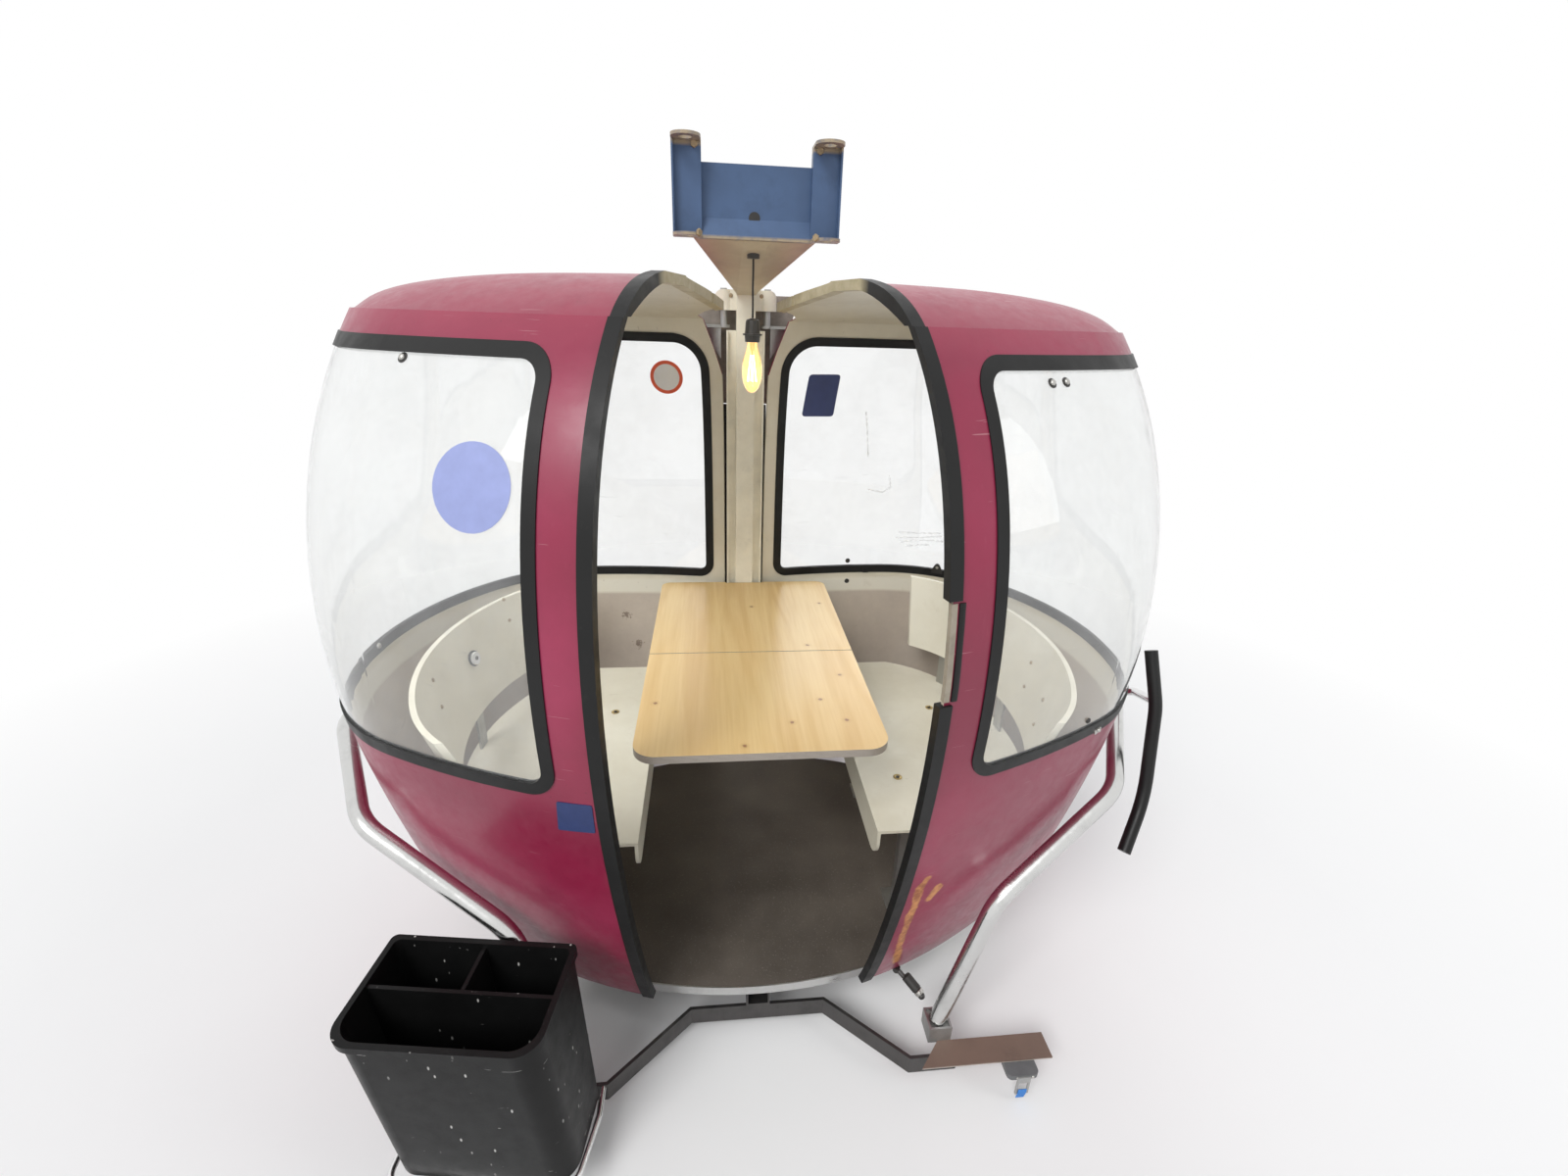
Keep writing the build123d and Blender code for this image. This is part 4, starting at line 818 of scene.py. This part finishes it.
TAB = [(-0.006, -0.019), (0.004, -0.019), (0.023, -0.0095), (0.0285, -0.005), (0.0305, 0), (0.0285, 0.005),
       (0.023, 0.0095), (0.004, 0.019), (-0.006, 0.019)]
CLIP = [(-0.011, -0.004), (-0.008, -0.0065), (0.008, -0.0065), (0.011, -0.004), (0.011, 0.004), (0.008, 0.0065),
        (-0.008, 0.0065), (-0.011, 0.004)]
JOINT = [(-0.009, -0.010), (0.009, -0.010), (0.009, 0.010), (-0.009, 0.010)]
for side, name in SIDE_NAME.items():
    bm = bmesh.new()
    for p in WINDOW_BOLTS[side]:
        bolt(bm, *touch("window_" + name, p), 0.006, 0, 1)
    if side == 1:
        for node, p in REAR_PLUGS:
            bolt(bm, *touch(node, p), 0.0085, 1, None, 16, FLAT_PLUG)
        q, n = touch("window_seal_right", (0.743, -0.944, 0.714))
        clip = stand(q - n * 0.0008, n, (0.85, 0.45, 0.25))
        prism(bm, CLIP, clip, 0.0, 0.0035)
        bolt(bm, clip @ Vector((0.003, 0, 0.0034)), n, 0.0048)
        bolt(bm, *touch("window_right", (0.701, -0.965, 0.755)), 0.0065, 1, 0)
        prism(bm, JOINT, stand(*touch("window_seal_right", (0.439, 0.069, 0.716))), -0.001, 0.0022, 2)
    else:
        bolt(bm, *touch("window_seal_left", (-0.963, -0.493, 0.729)), 0.007, 0, 1)
    q, n = touch("window_seal_" + name, SEAL_TABS[side])
    n = Vector((n.x, n.y, 0)).normalized()
    flat = stand(q - n * SUNK, n)
    prism(bm, TAB, flat, 0.0, 0.004, 1)
    lathe(bm, [(0, 0.0041), (0.0050, 0.0041), (0.0050, 0.0046), (0, 0.0046)],
          flat @ Matrix.Translation((0.016, 0, 0)), 14)
    add("shell_fasteners_" + name, bm, ["bolt", "bolt_dark_and_hole_shade", "rubber"], "half_" + name)

    bm = bmesh.new()
    for p in SEAT_CUPS[side]:
        place = stand(*touch("seat_" + name, p, (0, 0, -1)))
        lathe(bm, CUP, place)
        lathe(bm, CUP_SCREW, place, 16, 1)
    for p in BACKREST_BOLTS[side]:
        bolt(bm, *touch("backrest_" + name, p, (side, 0.05, -0.25), 0.10), 0.0055, 2)
    if side == -1:
        knob = stand(*touch("backrest_left", (-0.759, -0.429, 0.653), (-0.95, 0.21, -0.22), 0.10))
        lathe(bm, [(0, -0.001), (0.0215, -0.001), (0.0220, 0.004), (0.0205, 0.0060), (0.0190, 0.0052), (0, 0.0050)],
              knob, 28, 1)
        lathe(bm, [(0, 0.0048), (0.0175, 0.0048), (0.0180, 0.0095), (0.0160, 0.0115), (0.0135, 0.0105), (0, 0.0105)],
              knob, 28, 3)
        lathe(bm, [(0, 0.0100), (0.0055, 0.0100), (0.0052, 0.0125), (0, 0.0128)], knob, 16, 1)
    add("seat_fasteners_" + name, bm, ["brass", "bolt_dark_and_hole_shade", "bolt_worn", "sticker_white"], "frame")

# The latch rod's sleeve and bright collar. Sections are radii at parts of the rod's length.
rod_start, rod_end = Vector((0.363, -0.938, 0.0)), Vector((0.413, -0.986, -0.042))
rod = stand(rod_start, rod_end - rod_start)
rod_length = (rod_end - rod_start).length
SLEEVE = [(0.0030, 0.30), (0.0105, 0.30), (0.0125, 0.33), (0.0125, 0.80), (0.0105, 0.83), (0.0030, 0.83)]
COLLAR = [(0.0030, 0.835), (0.0110, 0.835), (0.0120, 0.85), (0.0120, 0.95), (0.0110, 0.97), (0.0030, 0.97)]
bm = bmesh.new()
for mat, section in enumerate((SLEEVE, COLLAR)):
    lathe(bm, [(r, at * rod_length) for r, at in section], rod, 20, mat, True)
add("latch_sleeve", bm, ["bolt_dark_and_hole_shade", "bolt"], "half_right")

# Hanger bracket bolts, a black disc of painted shade for the hole in its plate, and the bolts of the post's head
bm = bmesh.new()
for side in (1, -1):
    for x, y, z in ((0.134, -0.461, 1.875), (0.127, -0.509, 1.705)):
        bolt(bm, *touch("hanger_bracket", (side * x, y, z)), 0.008, 0, None, 6, HEX_HEAD)
# A thin black disc on the plate's face stands for its hole: painted shade.
lathe(bm, [(0, -SUNK), (0.013, -SUNK), (0.0125, 0.0007), (0, 0.0009)],
      stand(*touch("hanger_bracket", (-0.004, -0.441, 1.745))), 24, 1)
for x in (-0.045, 0.045):
    bolt(bm, *touch("hinge_head", (x, 0.0, 1.600)), 0.006)
add("hanger_fasteners", bm, ["bolt_worn", "bolt_dark_and_hole_shade"], "frame")

# Strap block screws and the end of blue webbing in the buckle
bm = bmesh.new()
for x in (0.5965, 0.6335):
    bolt(bm, (x, -1.1700, -0.0925), (0, -1, 0), 0.0036)
add("strap_screws", bm, ["bolt"], "frame")
bm = bmesh.new()
BELT = [(-1.1755, -0.128), (-1.1762, -0.136), (-1.1748, -0.146), (-1.1722, -0.156), (-1.1712, -0.163)]
THICK, THIN = (0.0006, 0.0008), (0.0002, 0.0004)
sections = []
for x, (front, rear) in ((0.6015, THIN), (0.6030, THICK), (0.6120, THICK), (0.6210, THICK), (0.6225, THIN)):
    sections.append([(x, y - front, z) for y, z in BELT] + [(x, y + rear, z) for y, z in reversed(BELT)])
loft(bm, sections)
add("strap_webbing", bm, ["webbing"], "frame")


# Floor, world and lights
def seen_directly(tree):
    """1 for what the camera sees, also in glass and by reflection, and 0 for the light that falls on things."""
    path = tree.nodes.new("ShaderNodeLightPath")
    total = path.outputs["Is Camera Ray"]
    for kind in ("Is Glossy Ray", "Is Transmission Ray"):
        most = tree.nodes.new("ShaderNodeMath")
        most.operation = "MAXIMUM"
        tree.links.new(total, most.inputs[0])
        tree.links.new(path.outputs[kind], most.inputs[1])
        total = most.outputs[0]
    return total


# The floor lies a little below the lowest piece, and fades to plain white between the two distances in FADE
FLOOR_GAP, FLOOR_REACH, FADE = 0.012, 30, (1.9, 3.6)
floor_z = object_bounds()[0].z - FLOOR_GAP
mesh = bpy.data.meshes.new("studio_floor")
mesh.from_pydata([(x * FLOOR_REACH, y * FLOOR_REACH, floor_z) for x, y in ((-1, -1), (1, -1), (1, 1), (-1, 1))],
                 [], [(0, 1, 2, 3)])
floor = bpy.data.objects.new("studio_floor", mesh)
bpy.context.scene.collection.objects.link(floor)
ground = Tree("studio_ground")
ground.set(Base_Color=ground.ramp(ground.noise(0.7, 2.0, 0.5), [(0.3, 0.86), (0.7, 0.88)]), Roughness=0.9)
far = ground.span(ground.vector("DISTANCE", ground.coord, (0.0, 0.0, floor_z)), *FADE)
white = ground.node("Emission", Strength=1.0).outputs["Emission"]
ground.show(ground.blend(ground.math("MULTIPLY", far, seen_directly(ground.nt)), ground.bsdf.outputs["BSDF"], white))
mesh.materials.append(ground.mat)

world = bpy.data.worlds.new("studio")
bpy.context.scene.world = world
world.use_nodes = True
wn = world.node_tree
wn.nodes.clear()
both = wn.nodes.new("ShaderNodeMixShader")
wn.links.new(seen_directly(wn), both.inputs["Fac"])
for socket, colour, strength in ((1, (0.97, 0.98, 1.0, 1.0), 0.50), (2, (1.0, 1.0, 1.0, 1.0), 1.0)):
    shade = wn.nodes.new("ShaderNodeBackground")
    shade.inputs["Color"].default_value = colour
    shade.inputs["Strength"].default_value = strength
    wn.links.new(shade.outputs[0], both.inputs[socket])
wn.links.new(both.outputs[0], wn.nodes.new("ShaderNodeOutputWorld").inputs["Surface"])


def lamp_at(name, kind, place, aim, power, size):
    """A sun, whose size is its angle in degrees, or an area light, whose size is its two sides."""
    data = bpy.data.lights.new(name, kind)
    if kind == "SUN":
        data.angle = math.radians(size)
    else:
        data.shape = "RECTANGLE"
        data.size, data.size_y = size
    data.energy = power
    lamp = bpy.data.objects.new(name, data)
    bpy.context.scene.collection.objects.link(lamp)
    lamp.location = row_point(place)
    lamp.rotation_mode = "QUATERNION"
    lamp.rotation_quaternion = (Vector(aim) - Vector(place)).to_track_quat("-Z", "Y")
    lamp.visible_camera = False
    lamp.visible_glossy = kind == "SUN"  # no hard-edged patch in the windows


lamp_at("soft_sun", "SUN", (-2.2, -3.6, 4.4), (0, -0.5, 0.8), 1.75, 28.0)
lamp_at("key", "AREA", (-2.6, -3.0, 3.4), (0, -0.5, 0.8), 22, (1.6, 1.2))
lamp_at("side", "AREA", (3.2, -2.4, 2.4), (0, -0.5, 0.8), 18, (1.2, 2.0))
lamp_at("back", "AREA", (0.8, 3.0, 2.8), (0, -0.3, 0.9), 30, (2.2, 1.2))

bpy.context.scene.view_settings.view_transform = "Standard"
